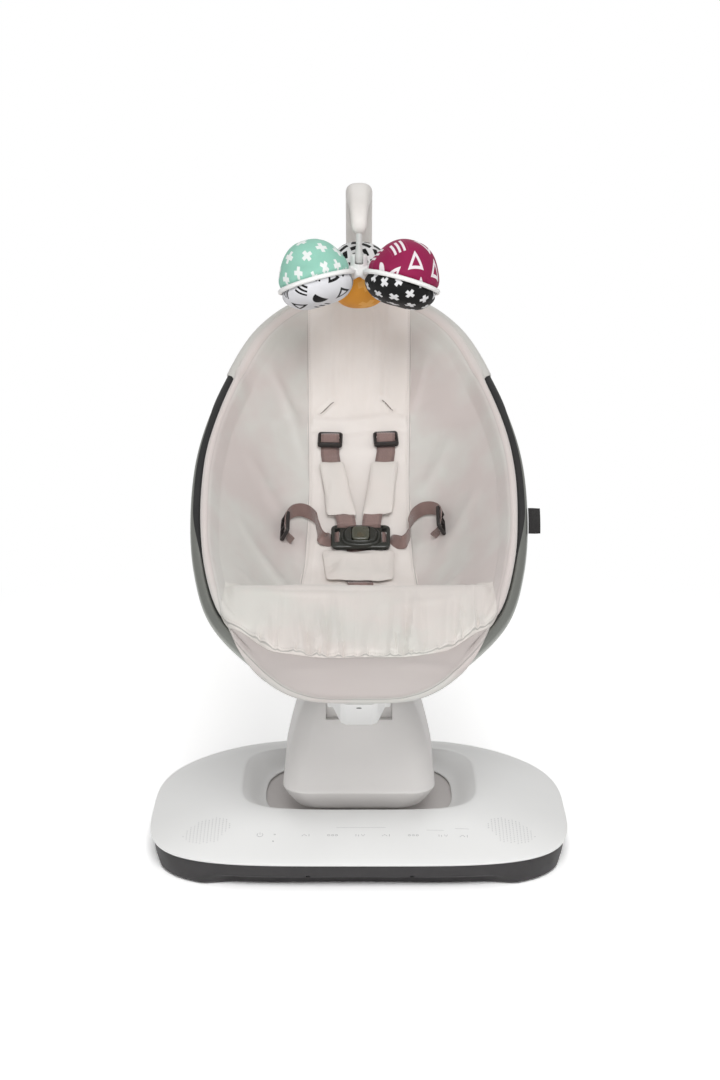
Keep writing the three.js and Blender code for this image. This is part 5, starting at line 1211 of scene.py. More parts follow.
def make_cover():
    """Padded cloth cover: wrapped over the ring at the head and foot, sewn inside it along the sides."""
    loop, inward = seat_columns()
    head = ease((loop[:, 0] - 505) / 30)
    foot = 1 - ease((loop[:, 0] - 20) / 78)
    side = 1 - head - foot
    wraps = np.array([(10.4, 265, 75), (10.3, 20, 50), (10.2, 265, 120)])
    shapes = [rim_profile(wrap, crest) for wrap, crest in zip(wraps, (HEAD_CREST, SIDE_CREST, FOOT_CREST))]
    share = np.stack([head, side, foot])
    section = sum(shape[:, None] * part[:, None] for shape, part in zip(shapes, share))
    radius, begin, end = wraps.T @ share
    begin = np.where(loop[:, 0] < 250, 20 + 245 * np.clip((118 - loop[:, 0]) / 112, 0, 1), begin)
    turn = np.radians(lerp(begin, end, np.linspace(0, 1, WRAP_ROWS)[:, None]))
    over = np.stack([radius * np.cos(turn), radius * np.sin(turn)], axis=-1)
    fade_in = np.exp(-np.arange(1, CREST_ROWS + 1) / 3.0)[:, None, None]
    section[WRAP_ROWS:] += (over[-1] - section[WRAP_ROWS - 1]) * fade_in
    section[:WRAP_ROWS] = over
    a, b = section[..., 0], section[..., 1]
    length = np.concatenate([np.zeros((1, COLUMNS + 1)),
                             np.cumsum(np.hypot(np.diff(a, axis=0), np.diff(b, axis=0)), axis=0)])
    seam_a = rim_seam_at(loop[:, 0])
    seam = np.zeros(COLUMNS + 1)
    for j in range(COLUMNS + 1):
        first = int(np.argmin(a[:, j]))
        seam[j] = np.interp(seam_a[j], a[first:, j], length[first:, j])
    slope = np.gradient(section, axis=0)
    out_a, out_b = -slope[..., 1], slope[..., 0]
    size = np.hypot(out_a, out_b)
    out_a, out_b = out_a / size, out_b / size
    depth = sizes().seam / MM
    around = np.linspace(0, 1, COLUMNS + 1) * RIM_LENGTH
    pucker = 0.45 * np.sin(around / 5.1 + 1.5 * np.sin(around / 37)) * np.sin(around / 19)
    deeper = 0.45 + 0.35 * ease((170 - loop[:, 0]) / 110)
    groove = (-depth * deeper * hump(length - seam, 1.7) + 0.5 * hump(length - seam - 4.5, 3) * (1 + pucker)
              + 0.4 * hump(length - seam + 4.5, 3))
    groove *= ease(length / 4)
    sagging = 0.8 * np.sin(around / 61) * np.sin(around / 23 + 2)
    sagging = sagging * ease((length - 6) / 10) * ease((a + 2) / 8)
    a = a + out_a * (groove + sagging)
    b = b + out_b * (groove + sagging)
    here_u, here_x = loop[:, 0] + a * inward[:, 0], loop[:, 1] + a * inward[:, 1]
    right_fold = hump(here_u - 24 - 0.10 * (here_x - 40), 5)
    right_fold = right_fold * ease((here_x - 34) / 26) * ease((118 - here_x) / 30)
    left_fold = hump(here_u - 17 + 0.06 * here_x, 6) * ease((-here_x - 20) / 30) * ease((110 + here_x) / 30)
    b = b + 2.2 * right_fold * foot + 1.0 * left_fold * foot
    decay = 60 * head + 80 * side + 30 * foot
    u, x, n = seat_grid(loop, inward, a, b, 58, 0.0, decay)
    rim_rows = len(section)
    fade = ease((np.arange(len(u)) - rim_rows + 4) / 14)[:, None] * np.ones_like(u)
    n = n + fold_height(u, x) * fade
    steps = np.hypot(np.diff(u[rim_rows - 1:], axis=0), np.diff(x[rim_rows - 1:], axis=0))
    whole = np.concatenate([length, length[-1] + np.cumsum(steps, axis=0)])
    cover = surface("seat_cover", seat(u, x, n), weave=chart(x, u), border=chart(around, whole - seam))
    turn_outwards(cover)
    face_out(cover)
    thicken(cover, 1.7, -1)
    dress(cover, "seat", "cover", ["seat_liner"], smooth=60)
    return cover


def face_out(obj):
    """Turns an open sheet of the seat so that its faces look out of the seat."""
    normals = np.zeros(len(obj.data.polygons) * 3)
    obj.data.polygons.foreach_get("normal", normals)
    if np.median(normals.reshape(-1, 3) @ OUT) < 0:
        pick(obj)
        bpy.ops.object.mode_set(mode="EDIT")
        bpy.ops.mesh.select_all(action="SELECT")
        bpy.ops.mesh.flip_normals()
        bpy.ops.object.mode_set(mode="OBJECT")


def make_sling():
    """Black cloth sling under the cover, its channel over the ring's tube showing along the sides."""
    loop, inward = seat_columns()
    shown = ease((loop[:, 0] - 190) / 110) * ease((535 - loop[:, 0]) / 110)
    raised = ease((loop[:, 0] - 430) / 70) * ease((570 - loop[:, 0]) / 40)
    start = np.radians(lerp(62.0, 122.0, shown) + 76 * raised)
    turn = lerp(start, np.radians(-62), np.linspace(0, 1, 16)[:, None])
    a, b = 8.45 * np.cos(turn), 8.45 * np.sin(turn)
    u, x, n = seat_grid(loop, inward, a, b, 44, 9.0, 55.0)
    rib = 0.5 * np.sin(u / 9 + x / 31) * np.sin(x / 12)
    n = n + rib * ease((np.arange(len(u)) - 18) / 10)[:, None]
    sling = surface("seat_sling_cloth", seat(u, x, n), weave=chart(x, u))
    turn_outwards(sling)
    face_out(sling)
    thicken(sling, 0.7, 0)
    dress(sling, "seat", "sling", ["seat_sling"], smooth=60)


def panel_half_width(u):
    return smooth_through([(262, 71), (285, 69), (310, 66.5), (400, 63), (440, 63), (520, 64.5), (628, 66),
                           (670, 66)], u)


def slot_distance(u, x, first, last):
    """Distance of places on the seat from a slot between two (u, x) ends."""
    (u0, x0), (u1, x1) = first, last
    du, dx = u1 - u0, x1 - x0
    along = np.clip(((u - u0) * du + (x - x0) * dx) / (du ** 2 + dx ** 2), 0, 1)
    return np.hypot(u - lerp(u0, u1, along), x - lerp(x0, x1, along))


def make_panel(cover):
    """Raised middle panel of the seat back, sewn down both sides, with its folds and strap slots."""
    tree = tree_of(cover)
    rows = np.concatenate([np.linspace(262, 420, 58), np.linspace(422, 652, 84), np.linspace(653.5, 663, 6)])
    share = np.sin(np.linspace(-1, 1, 61) * np.pi / 2 * 0.94) / math.sin(np.pi / 2 * 0.94)
    u = rows[:, None] * np.ones((1, len(share)))
    x = panel_half_width(u) * share[None, :]
    x = x + 1.2 * np.sin(u / 37) * np.sin(u / 11 + 1) * np.abs(share) ** 3 * np.sign(share)
    under = filled_in(ray_height(tree, u, x))
    edge = panel_half_width(u) - np.abs(x)
    height = 6.0 * (1 - np.abs(share[None, :]) ** 6) + 0.2
    height = height * ease((u - 258) / 12 + 0.1) * (1 - 0.5 * ease((u - 640) / 20))
    upper = ease((u - 490) / 60)
    lower = ease((455 - u) / 40)
    for place, width, tall in ((-33, 4.5, 1.6), (-22, 3.5, 0.9), (-8, 5, 1.7), (12, 4.5, 1.5), (24, 3.5, 0.8),
                               (36, 5, 1.7)):
        wander = place + 3 * np.sin(u / 43 + place) + (u - 560) * 0.02 * np.sign(place)
        height = height + 1.7 * tall * hump(x - wander, width) * upper * ease(edge / 10)
    for place, width, tall, begin in ((-20, 6, 1.0, 330), (16, 7, 0.9, 350), (44, 6, 1.2, 420),
                                      (-47, 5, 1.2, 430)):
        height = height + 1.4 * tall * hump(x - place - (u - begin) * 0.06, width) * lower * ease(edge / 10)
    for tall, line, width in ((3.2, u - 505 - 3 * np.sin(x / 19), 6),
                              (-2.6, u - 494 - 2.5 * np.sin(x / 17), 4.5),
                              (1.2, u - 470 + x * 0.25, 7), (1.1, u - 318 - x * 0.1, 8)):
        height = height + tall * hump(line, width) * ease(edge / 8)
    height = height - 1.6 * hump(edge - 3.2, 1.5) * ease((u - 290) / 10)
    for ends in SLOTS:
        off = slot_distance(u, x, *ends)
        height = height - 2.4 * hump(off, 1.8) + 1.0 * hump(off - 5, 2.2)
    panel = slab("back_panel_cloth", seat(u, x, under + np.maximum(height, 0.4)), seat(u, x, under + 0.15),
                 weave=chart(x, u), border=chart(u, edge))
    turn_outwards(panel)
    dress(panel, "seat", "panel", ["back_panel"], smooth=60)
    make_strap_slots(panel)
    return panel


def make_strap_slots(panel):
    """The two slits of the panel: dark leaf-shaped films that lie on its cloth, painted shade of the open
    slits.
    """
    tree = tree_of(panel)
    slots = []
    for k, ((u0, x0), (u1, x1)) in enumerate(SLOTS):
        at = np.linspace(0, 1, 14)
        half = 0.75 * np.sin(np.pi * at) ** 0.4 + 0.05
        size = math.hypot(u1 - u0, x1 - x0)
        edges = []
        for side in (-1, 1):
            u = lerp(u0, u1, at) - side * half * (x1 - x0) / size
            x = lerp(x0, x1, at) + side * half * (u1 - u0) / size
            edges.append(seat(u, x, filled_in(ray_height(tree, u, x)) + 0.25))
        slots.append(surface(f"slot_{k}", np.array(edges)))
    slots = join("strap_slots", *slots)
    thicken(slots, 0.2, 0)
    dress(slots, "seat", "slot", smooth=0)


def filled_in(heights):
    """Heights with any gaps taken from the nearest place on the same line."""
    flat = heights.reshape(-1, heights.shape[-1])
    for row in flat:
        bad = np.isnan(row)
        if bad.any() and not bad.all():
            row[bad] = np.interp(np.flatnonzero(bad), np.flatnonzero(~bad), row[~bad])
    for k in range(len(flat)):
        if np.isnan(flat[k]).any():
            flat[k] = flat[k - 1]
    return heights


def fold_line(tree, across):
    """How far up the seat the bolster's back fold lies: level, so it comes forward where the sides rise."""
    u = np.linspace(140, 204, 33)[:, None] * np.ones(len(across))
    x = across * np.ones_like(u)
    top = seat(u, x, np.maximum(smooth_through(BOLSTER_TOP, u), filled_in(ray_height(tree, u, x)) + 2.5))
    level = 0.26 * top[..., 1] + 0.97 * top[..., 2]
    highest = level[:, len(across) // 2].max()
    reached = level >= highest - 0.4
    crest = np.where(reached.any(axis=0), u[reached.argmax(axis=0), 0], 175.0)
    forward = crest[len(across) // 2] - crest
    fold = np.minimum(204.0, crest + 7 + 26 * (1 - ease(forward / 16)))
    fold[np.abs(across) < 60] = 204.0
    spread = np.exp(-((across[:, None] - across[None, :]) / 9.0) ** 2)
    return spread @ fold / spread.sum(axis=1)


def make_bolster(cover):
    """Cushion across the foot of the seat that the legs lie over, gathered along its lip seam."""
    tree = tree_of(cover)
    across = np.concatenate([np.linspace(-153, -138, 12), np.linspace(-136, 136, 97),
                             np.linspace(138, 153, 12)])
    rows = np.linspace(0, 1, 70)[:, None]
    first = smooth_through(LIP, np.abs(across))[None, :]
    last = fold_line(tree, across)[None, :] - 13 * ease((np.abs(across) - 134) / 17)
    pace = np.where(rows < 0.1, rows * 0.5, 0.05 + (rows - 0.1) * 0.95 / 0.9)
    u = lerp(first, last, pace)
    x = np.broadcast_to(across, u.shape).copy()
    under = filled_in(ray_height(tree, u, x))
    fuller = ease((np.abs(x) - 70) / 50) * ease((u - 60) / 50) * ease((180 - u) / 30)
    fuller = fuller * ease((150 - np.abs(x)) / 24)
    top = np.maximum(smooth_through(BOLSTER_TOP, u), under + 2.5) + 4.0 * fuller
    from_lip = u - first
    from_side = BOLSTER_HALF - np.abs(x)
    swell = 1 - (1 - np.clip(from_lip / 11, 0, 1)) ** 2.2
    round_side = 1 - (1 - np.clip(from_side / 15, 0, 1)) ** 2.4
    n = lerp(under + 0.4, top, swell * round_side)
    gather = 0.0
    for place in (-112, -88, -71, -58, -46, -31, -20, -6, 7, 21, 34, 52, 66, 84, 108, 126):
        reach = 46 + 20 * math.sin(place * 1.7)
        lean = place + from_lip * 0.10 * math.sin(place)
        crease = hump(x - lean, 2.6 + 0.9 * math.sin(place) ** 2) - 0.9 * hump(x - lean - 4.2, 2.0)
        gather = gather + (4.1 + 1.6 * math.sin(place * 2.3)) * np.exp(-from_lip / reach) * crease
    for place, wide, tall in ((-101, 6.0, 3.6), (-64, 5.5, 4.2), (-41, 5.0, 5.2), (-24, 4.5, 3.6),
                              (12, 5.0, 3.2), (40, 5.5, 5.0), (58, 4.5, 3.8), (95, 6.0, 3.4),
                              (132, 4.0, 2.8)):
        lean = place + from_lip * 0.05 * np.sign(place)
        fall = ease((150 + 22 * math.sin(place) - u) / 60)
        gather = gather + tall * (hump(x - lean, wide) - 0.7 * hump(x - lean - 1.6 * wide, 0.7 * wide)) * fall
    n = n + gather * ease(from_lip / 4) * round_side
    slow = (1.1 * np.sin(x / 33 + u / 71 + 0.7) * np.sin(u / 27 + 0.5)
            + 0.5 * np.sin(x / 14 + u / 33) * np.sin(u / 19 + x / 61))
    creases = (1.3 * hump(u - 150 + 0.05 * x, 5) * hump(x + 60, 40)
               + 1.2 * hump(u - 128 - 0.12 * x, 6) * hump(x - 70, 36) - 1.0 * hump(u - 162, 4) * hump(x, 90))
    n = n + (slow + creases) * ease(from_lip / 16) * ease(from_side / 12)
    puckered = 0.9 * np.sin(x / 4.3 + 2 * np.sin(x / 29)) * hump(from_lip - 3, 4)
    n = n + puckered * ease(from_lip / 2)
    n = np.maximum(n, under + 0.35)
    bolster = slab("leg_bolster_cloth", seat(u, x, n), seat(u, x, under + 0.12), weave=chart(x, u),
                   border=chart(x, from_lip))
    turn_outwards(bolster)
    dress(bolster, "seat", "bolster", ["leg_bolster"], smooth=60)
    return bolster


def make_soft_seat():
    """Cover, sling, panel and bolster, in the order in which they lie on one another."""
    cover = make_cover()
    make_sling()
    panel = make_panel(cover)
    bolster = make_bolster(cover)
    LAID[:] = [cover, panel, bolster]


def on_seat(u, x):
    """Places on top of the seat's cloth."""
    u, x = np.atleast_1d(np.asarray(u, float)), np.atleast_1d(np.asarray(x, float))
    heights = [ray_height(tree_of(obj), u, x, 60.0) for obj in LAID]
    return seat(u, x, filled_in(np.fmax.reduce(heights)[None])[0])


# ---------------- stuffing
# Grain of the remeshed copy, the pressure in it, the most that it may swell, and the frames it swells for.
PAD_VOXEL = 4.0
PAD_PRESSURE = 4.0
PAD_SWELL = 5.0
PAD_FRAMES = 16
PAD_THICKNESS = 8.5


def inflate(obj):
    """Stuffs a sewn shell: a remeshed copy swells as cloth, and the shell takes up its shape."""
    pick(obj)
    bpy.ops.object.duplicate()
    bag = bpy.context.object
    modify(bag, "REMESH", mode="VOXEL", voxel_size=PAD_VOXEL * MM)
    rest = places_of(bag)
    cloth = bag.modifiers.new("Cloth", "CLOTH")
    set_up(cloth.settings, quality=6, mass=0.15, tension_stiffness=25, compression_stiffness=25,
           shear_stiffness=8, use_pressure=True, uniform_pressure_force=PAD_PRESSURE)
    cloth.settings.effector_weights.gravity = 0
    scene = bpy.context.scene
    for step in range(1, PAD_FRAMES + 1):
        scene.frame_set(step)
    pick(bag)
    bpy.ops.object.modifier_apply(modifier=cloth.name)
    move = places_of(bag) - rest
    scene.frame_set(1)
    far = np.linalg.norm(move, axis=1)[:, None]
    move *= np.minimum(1, PAD_SWELL * MM / np.maximum(far, 1e-9))
    tree = KDTree(len(rest))
    for k, place in enumerate(rest):
        tree.insert(place, k)
    tree.balance()
    shell = places_of(obj)
    for k, place in enumerate(shell):
        near = tree.find_n(place, 5)
        weight = np.array([1 / (found[2] + 0.3 * MM) for found in near])
        shell[k] = place + (weight[:, None] * move[[found[1] for found in near]]).sum(axis=0) / weight.sum()
    put_places(obj, shell)
    bpy.data.objects.remove(bag)


def pad(name, corners, lift, replaced, pull=1.6):
    """Small stuffed pad with four corners on the seat, its sides drawn in."""
    (au, ax), (bu, bx), (cu, cx), (du, dx) = corners
    s, t = (0.5 - 0.5 * np.cos(np.pi * (0.12 + 0.76 * np.linspace(0, 1, count))) / math.cos(0.12 * math.pi)
            for count in (34, 40))
    s, t = s[None, :], t[:, None]
    u = lerp(lerp(au, bu, s), lerp(du, cu, s), t)
    x = lerp(lerp(ax, bx, s), lerp(dx, cx, s), t)
    x = x - pull * np.sin(np.pi * t) * (2 * s - 1)
    u = u - pull * np.sin(np.pi * s) * (1 - 2 * t)
    corner = (np.abs(2 * s - 1) * np.abs(2 * t - 1)) ** 6
    u = u - corner * 2.0 * (1 - 2 * t)
    x = x - corner * 2.0 * (2 * s - 1)
    under = on_seat(u.ravel(), x.ravel()).reshape(*u.shape, 3)
    crown = (1 - np.abs(2 * s - 1) ** 7) * (1 - np.abs(2 * t - 1) ** 7)
    high = lift + PAD_THICKNESS * (0.5 + 0.42 * crown)
    low = lift + PAD_THICKNESS * (0.5 - 0.42 * crown)
    shell = slab(name, under + high[..., None] * OUT, under + low[..., None] * OUT, weave=chart(x, u))
    turn_outwards(shell)
    inflate(shell)
    modify(shell, "SUBSURF", levels=1, render_levels=1)
    dress(shell, "seat", "pad", [replaced], smooth=60)


# ---------------- harness
def ribbon(name, path, widths, width, replaced):
    """Strip of webbing along a path, with the way its width points given at each place."""
    path, widths = smooth_path(path, fine=8), smooth_path(widths, fine=8)
    ahead = unit(np.gradient(path, axis=0))
    widths = unit(widths - np.sum(widths * ahead, axis=1)[:, None] * ahead)
    up = np.cross(ahead, widths)
    length = np.concatenate([[0], np.cumsum(np.linalg.norm(np.diff(path, axis=0), axis=1))])
    across = np.linspace(-0.5, 0.5, 9)
    grid = (path[:, None] + across[None, :, None] * width * widths[:, None]
            - (0.35 * np.abs(2 * across) ** 3)[None, :, None] * up[:, None])
    strip = surface(name, grid, weave=chart(length[:, None], across[None, :] * width))
    turn_outwards(strip)
    thicken(strip, 1.2, 0)
    bevel_edges(strip, 0.25, 1, 60)
    dress(strip, "seat", "webbing", [replaced])


BUCKLE_U = 345.0


BUCKLE_FLOOR = float(bowl(351, 0) + 9.4)


def along_seat(rows):
    """Places (u, x, lift) over the seat's cloth, in drawing millimetres."""
    rows = np.array(rows, float)
    return on_seat(rows[:, 0], rows[:, 1]) + rows[:, 2:3] * OUT


def rounded_loft(name, rows, steps=6, around=True):
    """Loft through rounded rectangles of half width, half depth, corner radius and height."""
    return loft(name, [at_height(rounded_block(half_x, -half_y, half_y, radius, steps), z)
                       for half_x, half_y, radius, z in rows], around=around)


def make_adjuster(name, u, x, tilt):
    """Strap adjuster: a rounded frame with a middle bar that the webbing turns over."""
    body = rounded_loft(name, [(14.6, 11.2, 3.5, 0.2), (15.4, 12, 4, 1), (15.5, 12, 4, 4.4),
                               (14.8, 11.3, 3.6, 5.6), (13.4, 9.8, 3, 6.0), (11.9, 8.4, 2, 5.0),
                               (11.6, 8.1, 2, 3.0), (11.9, 8.3, 2, 0.4)])
    bars = [cylinder("bar", 1.5, 24, (0, y, z), "x", 20) for y, z in ((1.2, 2.2), (-7.2, 3.4))]
    body = join(name, body, *bars)
    turn = math.radians(tilt)
    sideways = math.cos(turn) * ACROSS + math.sin(turn) * ALONG
    ahead = math.cos(turn) * ALONG - math.sin(turn) * ACROSS
    origin = on_seat(u, x)[0] + 1.2 * OUT
    lay(body, origin, sideways, ahead, OUT)
    dress(body, "seat", "black", [name], smooth=40)


def make_waist_slider(name, u, x, side):
    """Waist strap slider: a flat three-bar frame that stands on the strap's edge."""
    body = rounded_loft(name, [(16.4, 10.4, 3, -2), (17, 11, 3.4, -1.2), (17, 11, 3.4, 1.2),
                               (16.4, 10.4, 3, 2), (14, 8, 2, 2), (13.6, 7.7, 2, 0), (14, 8, 2, -2)])
    bar = cylinder("bar", 1.7, 18, (0, 0, 0), "y", 20)
    body = join(name, body, bar)
    lean = math.radians(24)
    ahead = math.cos(lean) * OUT - math.sin(lean) * ACROSS * side
    out = np.cross(ALONG, ahead)
    origin = on_seat(u, x)[0] + 11.8 * OUT
    lay(body, origin, ALONG, ahead, out)
    dress(body, "seat", "black", [name], smooth=40)


def make_buckle():
    """Centre buckle: base plate with strap slots, a rimmed oval dome and its press button."""
    base = rounded_loft("buckle", [(33, 16.5, 5, -2.5), (35, 18, 6, -1.5), (36, 19, 6.5, 0.5),
                                   (36, 19, 6.5, 3.2), (35, 18.2, 6, 4.3), (33.5, 16.8, 5, 4.8)],
                        10, around=False)
    for x, half, front, back, bevel in ((-28.6, 3.2, -11, 12, 0.6), (28.6, 3.2, -11, 12, 0.6),
                                        (-15, 12.5, 13.6, 16.2, 0.4), (15, 12.5, 13.6, 16.2, 0.4)):
        subtract(base, block("slot", (x - half, front, -6), (x + half, back, 12), bevel))
    dome_rows = [(1.0, 3.0), (1.0, 5.2), (0.985, 6.6), (0.95, 7.6), (0.91, 8.1), (0.885, 7.9), (0.87, 7.2),
                 (0.85, 7.0), (0.83, 7.6), (0.81, 9.0), (0.78, 10.0), (0.74, 10.6), (0.70, 10.7)]
    oval = superellipse(24.6, 17.0, 17.0, 2.5, 2.5, -2.2, 72)
    dome = loft("dome", [at_height(oval * k, z) for k, z in dome_rows])
    subtract(dome, block("well", (-11.2, -13.4, 5.8), (11.2, 9.4, 20), 1.5))
    body = join("buckle", base, dome)
    lay(body, seat(BUCKLE_U, 2, BUCKLE_FLOOR), ACROSS, ALONG, OUT)
    dress(body, "seat", "buckle", ["buckle_body"], smooth=38)
    shape = superellipse(10.6, 10.8, 10.8, 4.2, 4.2, -2.0, 64)
    button = loft("button", [at_height(shape * k, z) for k, z in
                             ((0.97, 8.6), (1.0, 9.0), (1.0, 11.6), (0.97, 12.4), (0.9, 12.9), (0.8, 13.0),
                              (0.62, 12.6), (0.3, 12.4), (0.1, 12.4))])
    lay(button, seat(BUCKLE_U, 2, BUCKLE_FLOOR), ACROSS, ALONG, OUT)
    dress(button, "buckle_button", "button", ["buckle_button"], smooth=45)


def make_shoulder(name, side, u, x, pad_corners):
    """Shoulder strap from its adjuster down into the buckle, with its pad."""
    low = along_seat([(u + 9.5, x, 1.8), (u + 7, x, 5.6), (u + 3, x, 7.6), (u - 2.0, x, 6.0),
                      (u - 7.0, x, 2.6), (u - 16, x, 1.6), (u - 24, x - side * 1.0, 3.2),
                      (u - 44, x - side * 4, 6.0), (u - 74, side * 24, 6.0), (u - 96, side * 19, 6.5),
                      (u - 106, side * 17, 9.5)])
    tail = [seat(u, side * x, BUCKLE_FLOOR + n) for u, x, n in
            ((363.5, 15.5, 9.6), (360.0, 15, 8.6), (358.6, 15, 5.0), (359.8, 15, -0.5))]
    path = np.concatenate([low, tail])
    widths = np.tile(ACROSS, (len(path), 1))
    widths[6:-2] += ALONG * side * 0.20
    ribbon(f"shoulder_webbing_{name}", path, widths, 22.8, f"shoulder_strap_{name}")
    pad(f"shoulder_pad_cloth_{name}", pad_corners, 5.5, f"shoulder_pad_{name}")


# Waist straps from the buckle outwards: (u, x, n) over the buckle's floor, then (u, x, lift) over the cloth,
# and how far their width lies along the seat and out of it.
WAIST_ROUTES = {
    "left": ([(345, -24.4, 2.8), (345, -27.4, 1.2), (344.5, -31.6, -3.2), (342, -38.5, 0.6)],
             [(341.5, -44.5, 9), (355, -50, 11.5), (366, -53, 12), (375, -60, 12), (378, -70, 12),
              (373, -81, 12), (362, -88, 12), (350, -90, 11), (338, -87, 9), (332, -81, 8)]),
    "right": ([(345, 28.4, 2.8), (345, 31.4, 1.2), (344, 35.6, -3.2), (339, 43.5, 0.6)],
              [(334.5, 54, 9), (347, 61.5, 11), (360, 62, 12), (372, 68.5, 12), (377.5, 79, 12),
               (374, 91, 12), (364, 98.5, 12), (353, 99.5, 11), (342, 96, 9), (337, 90, 8)]),
}
WAIST_LEAN = [(1, 0), (1, 0.02), (1, 0.12), (0.8, 0.7), (0.5, 1), (0.35, 1), (0.4, 1), (0.45, 1), (0.45, 1),
              (0.4, 1), (0.2, 1), (0, 1), (0, 1), (0, 1)]


def make_harness():
    """Adjusters, buckle, shoulder straps with pads, waist straps with sliders, crotch pad and strap, tag."""
    make_adjuster("strap_adjuster_left", 476.5, -36, -2)
    make_adjuster("strap_adjuster_right", 479, 33.5, 4)
    make_buckle()
    make_shoulder("left", -1, 476.5, -36, ((445, -50.5), (446, -18), (373, -1.0), (372, -40.5)))
    make_shoulder("right", 1, 479, 33.5, ((446, 14.5), (445.5, 50), (374, 42), (371, 2.5)))
    widths = np.array([along * ALONG + out * OUT for along, out in WAIST_LEAN])
    for name, (in_buckle, over_cloth) in WAIST_ROUTES.items():
        path = [seat(u, x, BUCKLE_FLOOR + n) for u, x, n in in_buckle] + list(along_seat(over_cloth))
        ribbon(f"waist_webbing_{name}", path, widths, sizes().strap / MM, f"waist_strap_{name}")
    make_waist_slider("waist_slider_left", 349, -90, -1)
    make_waist_slider("waist_slider_right", 352, 99.5, 1)
    pad("crotch_pad_cloth", ((326, -45.5), (325, 44.5), (273, 41.5), (273, -40)), 1.6, "crotch_pad",
        pull=-0.3)
    path = np.concatenate([[seat(349, 0, BUCKLE_FLOOR - 3.2), seat(338, 0, BUCKLE_FLOOR - 3.2)],
                           along_seat([(326, 0, 1.2), (305, 0, 0.9), (280, 0, 0.9), (268, 2, 4.5),
                                       (263, 2, 3.0), (256, 2, 1.0)])])
    ribbon("crotch_webbing", path, np.tile(ACROSS, (len(path), 1)), 30, "crotch_strap")
    make_tag()


def make_tag():
    """Bare cloth tag sewn into the right side of the ring's sleeve."""
    u = np.linspace(261, 303, 22)[:, None]
    reach = np.linspace(0, 14, 9)[None, :]
    wide = half_width(u) + RING_TUBE + 0.6 + reach
    n = rim_sag(u) + 1.5 + 0.6 * np.sin(u / 9 + reach / 5) * reach / 14
    tag = surface("side_tag_cloth", seat(u * np.ones_like(reach), wide, n), weave=chart(wide, u))
    turn_outwards(tag)
    thicken(tag, 1.1, 0)
    modify(tag, "BEVEL", width=0.3 * MM, segments=2, limit_method="ANGLE")
    dress(tag, "seat", "label", ["side_tag"])


# ---------------- turning toys
TOYS = {
    "toy_left": (210, 63, 660, "mint", "white shapes", "toy_mint"),
    "toy_right": (330, 63, 660, "magenta", "black crosses", "toy_magenta"),
    "toy_rear": (90, 57, 649, "checks", "orange", "toy_orange"),
}
REAR_SCALE = 0.92
TOY_RADIUS = 43.5
HOOP_RADIUS = 44.5
HUB_HEIGHT = 663.0


def toy_axes(angle, reach, height):
    """Centre of a toy, the ways outward, sideways and up of its leaning hoop, and its scale."""
    turn = math.radians(angle)
    outward = np.array([math.cos(turn), math.sin(turn), 0.0])
    centre = np.array([0, MOBILE_Y, 0.0]) + reach * outward + np.array([0, 0, height])
    in_front = abs(outward[0]) > 0.1
    if in_front:
        up = np.array([0.29 * np.sign(outward[0]), 0.262, 1.0])
    else:
        up = np.array([0, math.tan(math.asin((HUB_HEIGHT - height) / HOOP_RADIUS)), 1.0])
    up /= np.linalg.norm(up)
    down_out = outward - (outward @ up) * up
    down_out /= np.linalg.norm(down_out)
    side = np.cross(up, down_out)
    return centre - (12.0 if in_front else 5.0) * up, down_out, side, up, 1.0 if in_front else REAR_SCALE


def make_toy(name, angle, reach, height, upper, lower, slot):
    """Stuffed ball of two printed halves, drawn in where its hoop holds it."""
    centre, outward, side, up, scale = toy_axes(angle, reach, height)
    theta = np.concatenate([np.linspace(0, 1.25, 34), np.linspace(1.28, np.pi / 2, 12)])[:, None]
    phi = np.linspace(0, 2 * np.pi, 121)[None, :]
    lat = (np.pi / 2 - theta) * TOY_RADIUS
    ball = TOY_RADIUS - 2.9 * hump(lat, 5.0) + 0.9 * hump(lat - 12, 9) - 1.3 * hump(theta, 0.45)
    flat = chart(TOY_RADIUS * theta * np.cos(phi), TOY_RADIUS * theta * np.sin(phi))
    for half, way, look, fuller in (("upper", 1, upper, 9.5 if scale == 1 else 2.2),
                                    ("lower", -1, lower, -13.5 if scale == 1 else 1.5)):
        pucker = 0.55 * np.sin(17 * phi + 2 * np.sin(3 * phi)) + 0.35 * np.sin(29 * phi + way)
        pucker = pucker * np.exp(-lat / 9)
        lumps = (0.5 * np.sin(3 * phi + way) * np.sin(2.3 * theta) ** 2
                 + 0.35 * np.sin(5 * phi + 1.7) * np.sin(theta) ** 3)
        radius = scale * (ball + pucker + lumps * np.cos(theta) ** 0.5)
        away = radius * np.sin(theta) ** 0.9
        high = way * (radius + fuller * np.cos(theta)) * np.cos(theta)
        grid = (centre + (away * np.cos(phi))[..., None] * outward + (away * np.sin(phi))[..., None] * side
                + high[..., None] * up)
        shell = surface(f"{name}_{half}", grid, print=flat + 0.05 * way)
        turn_outwards(shell)
        face = max(shell.data.polygons, key=lambda p: p.center @ Vector(up * way))
        if face.normal @ Vector(up * way) < 0:
            turn_outwards(shell, inside=True)
        thicken(shell, 1.0, -1)
        dress(shell, "mobile", look, [name] if half == "upper" else (), smooth=60)


def make_mobile():
    for name, row in TOYS.items():
        make_toy(name, *row)
    make_toy_frame()


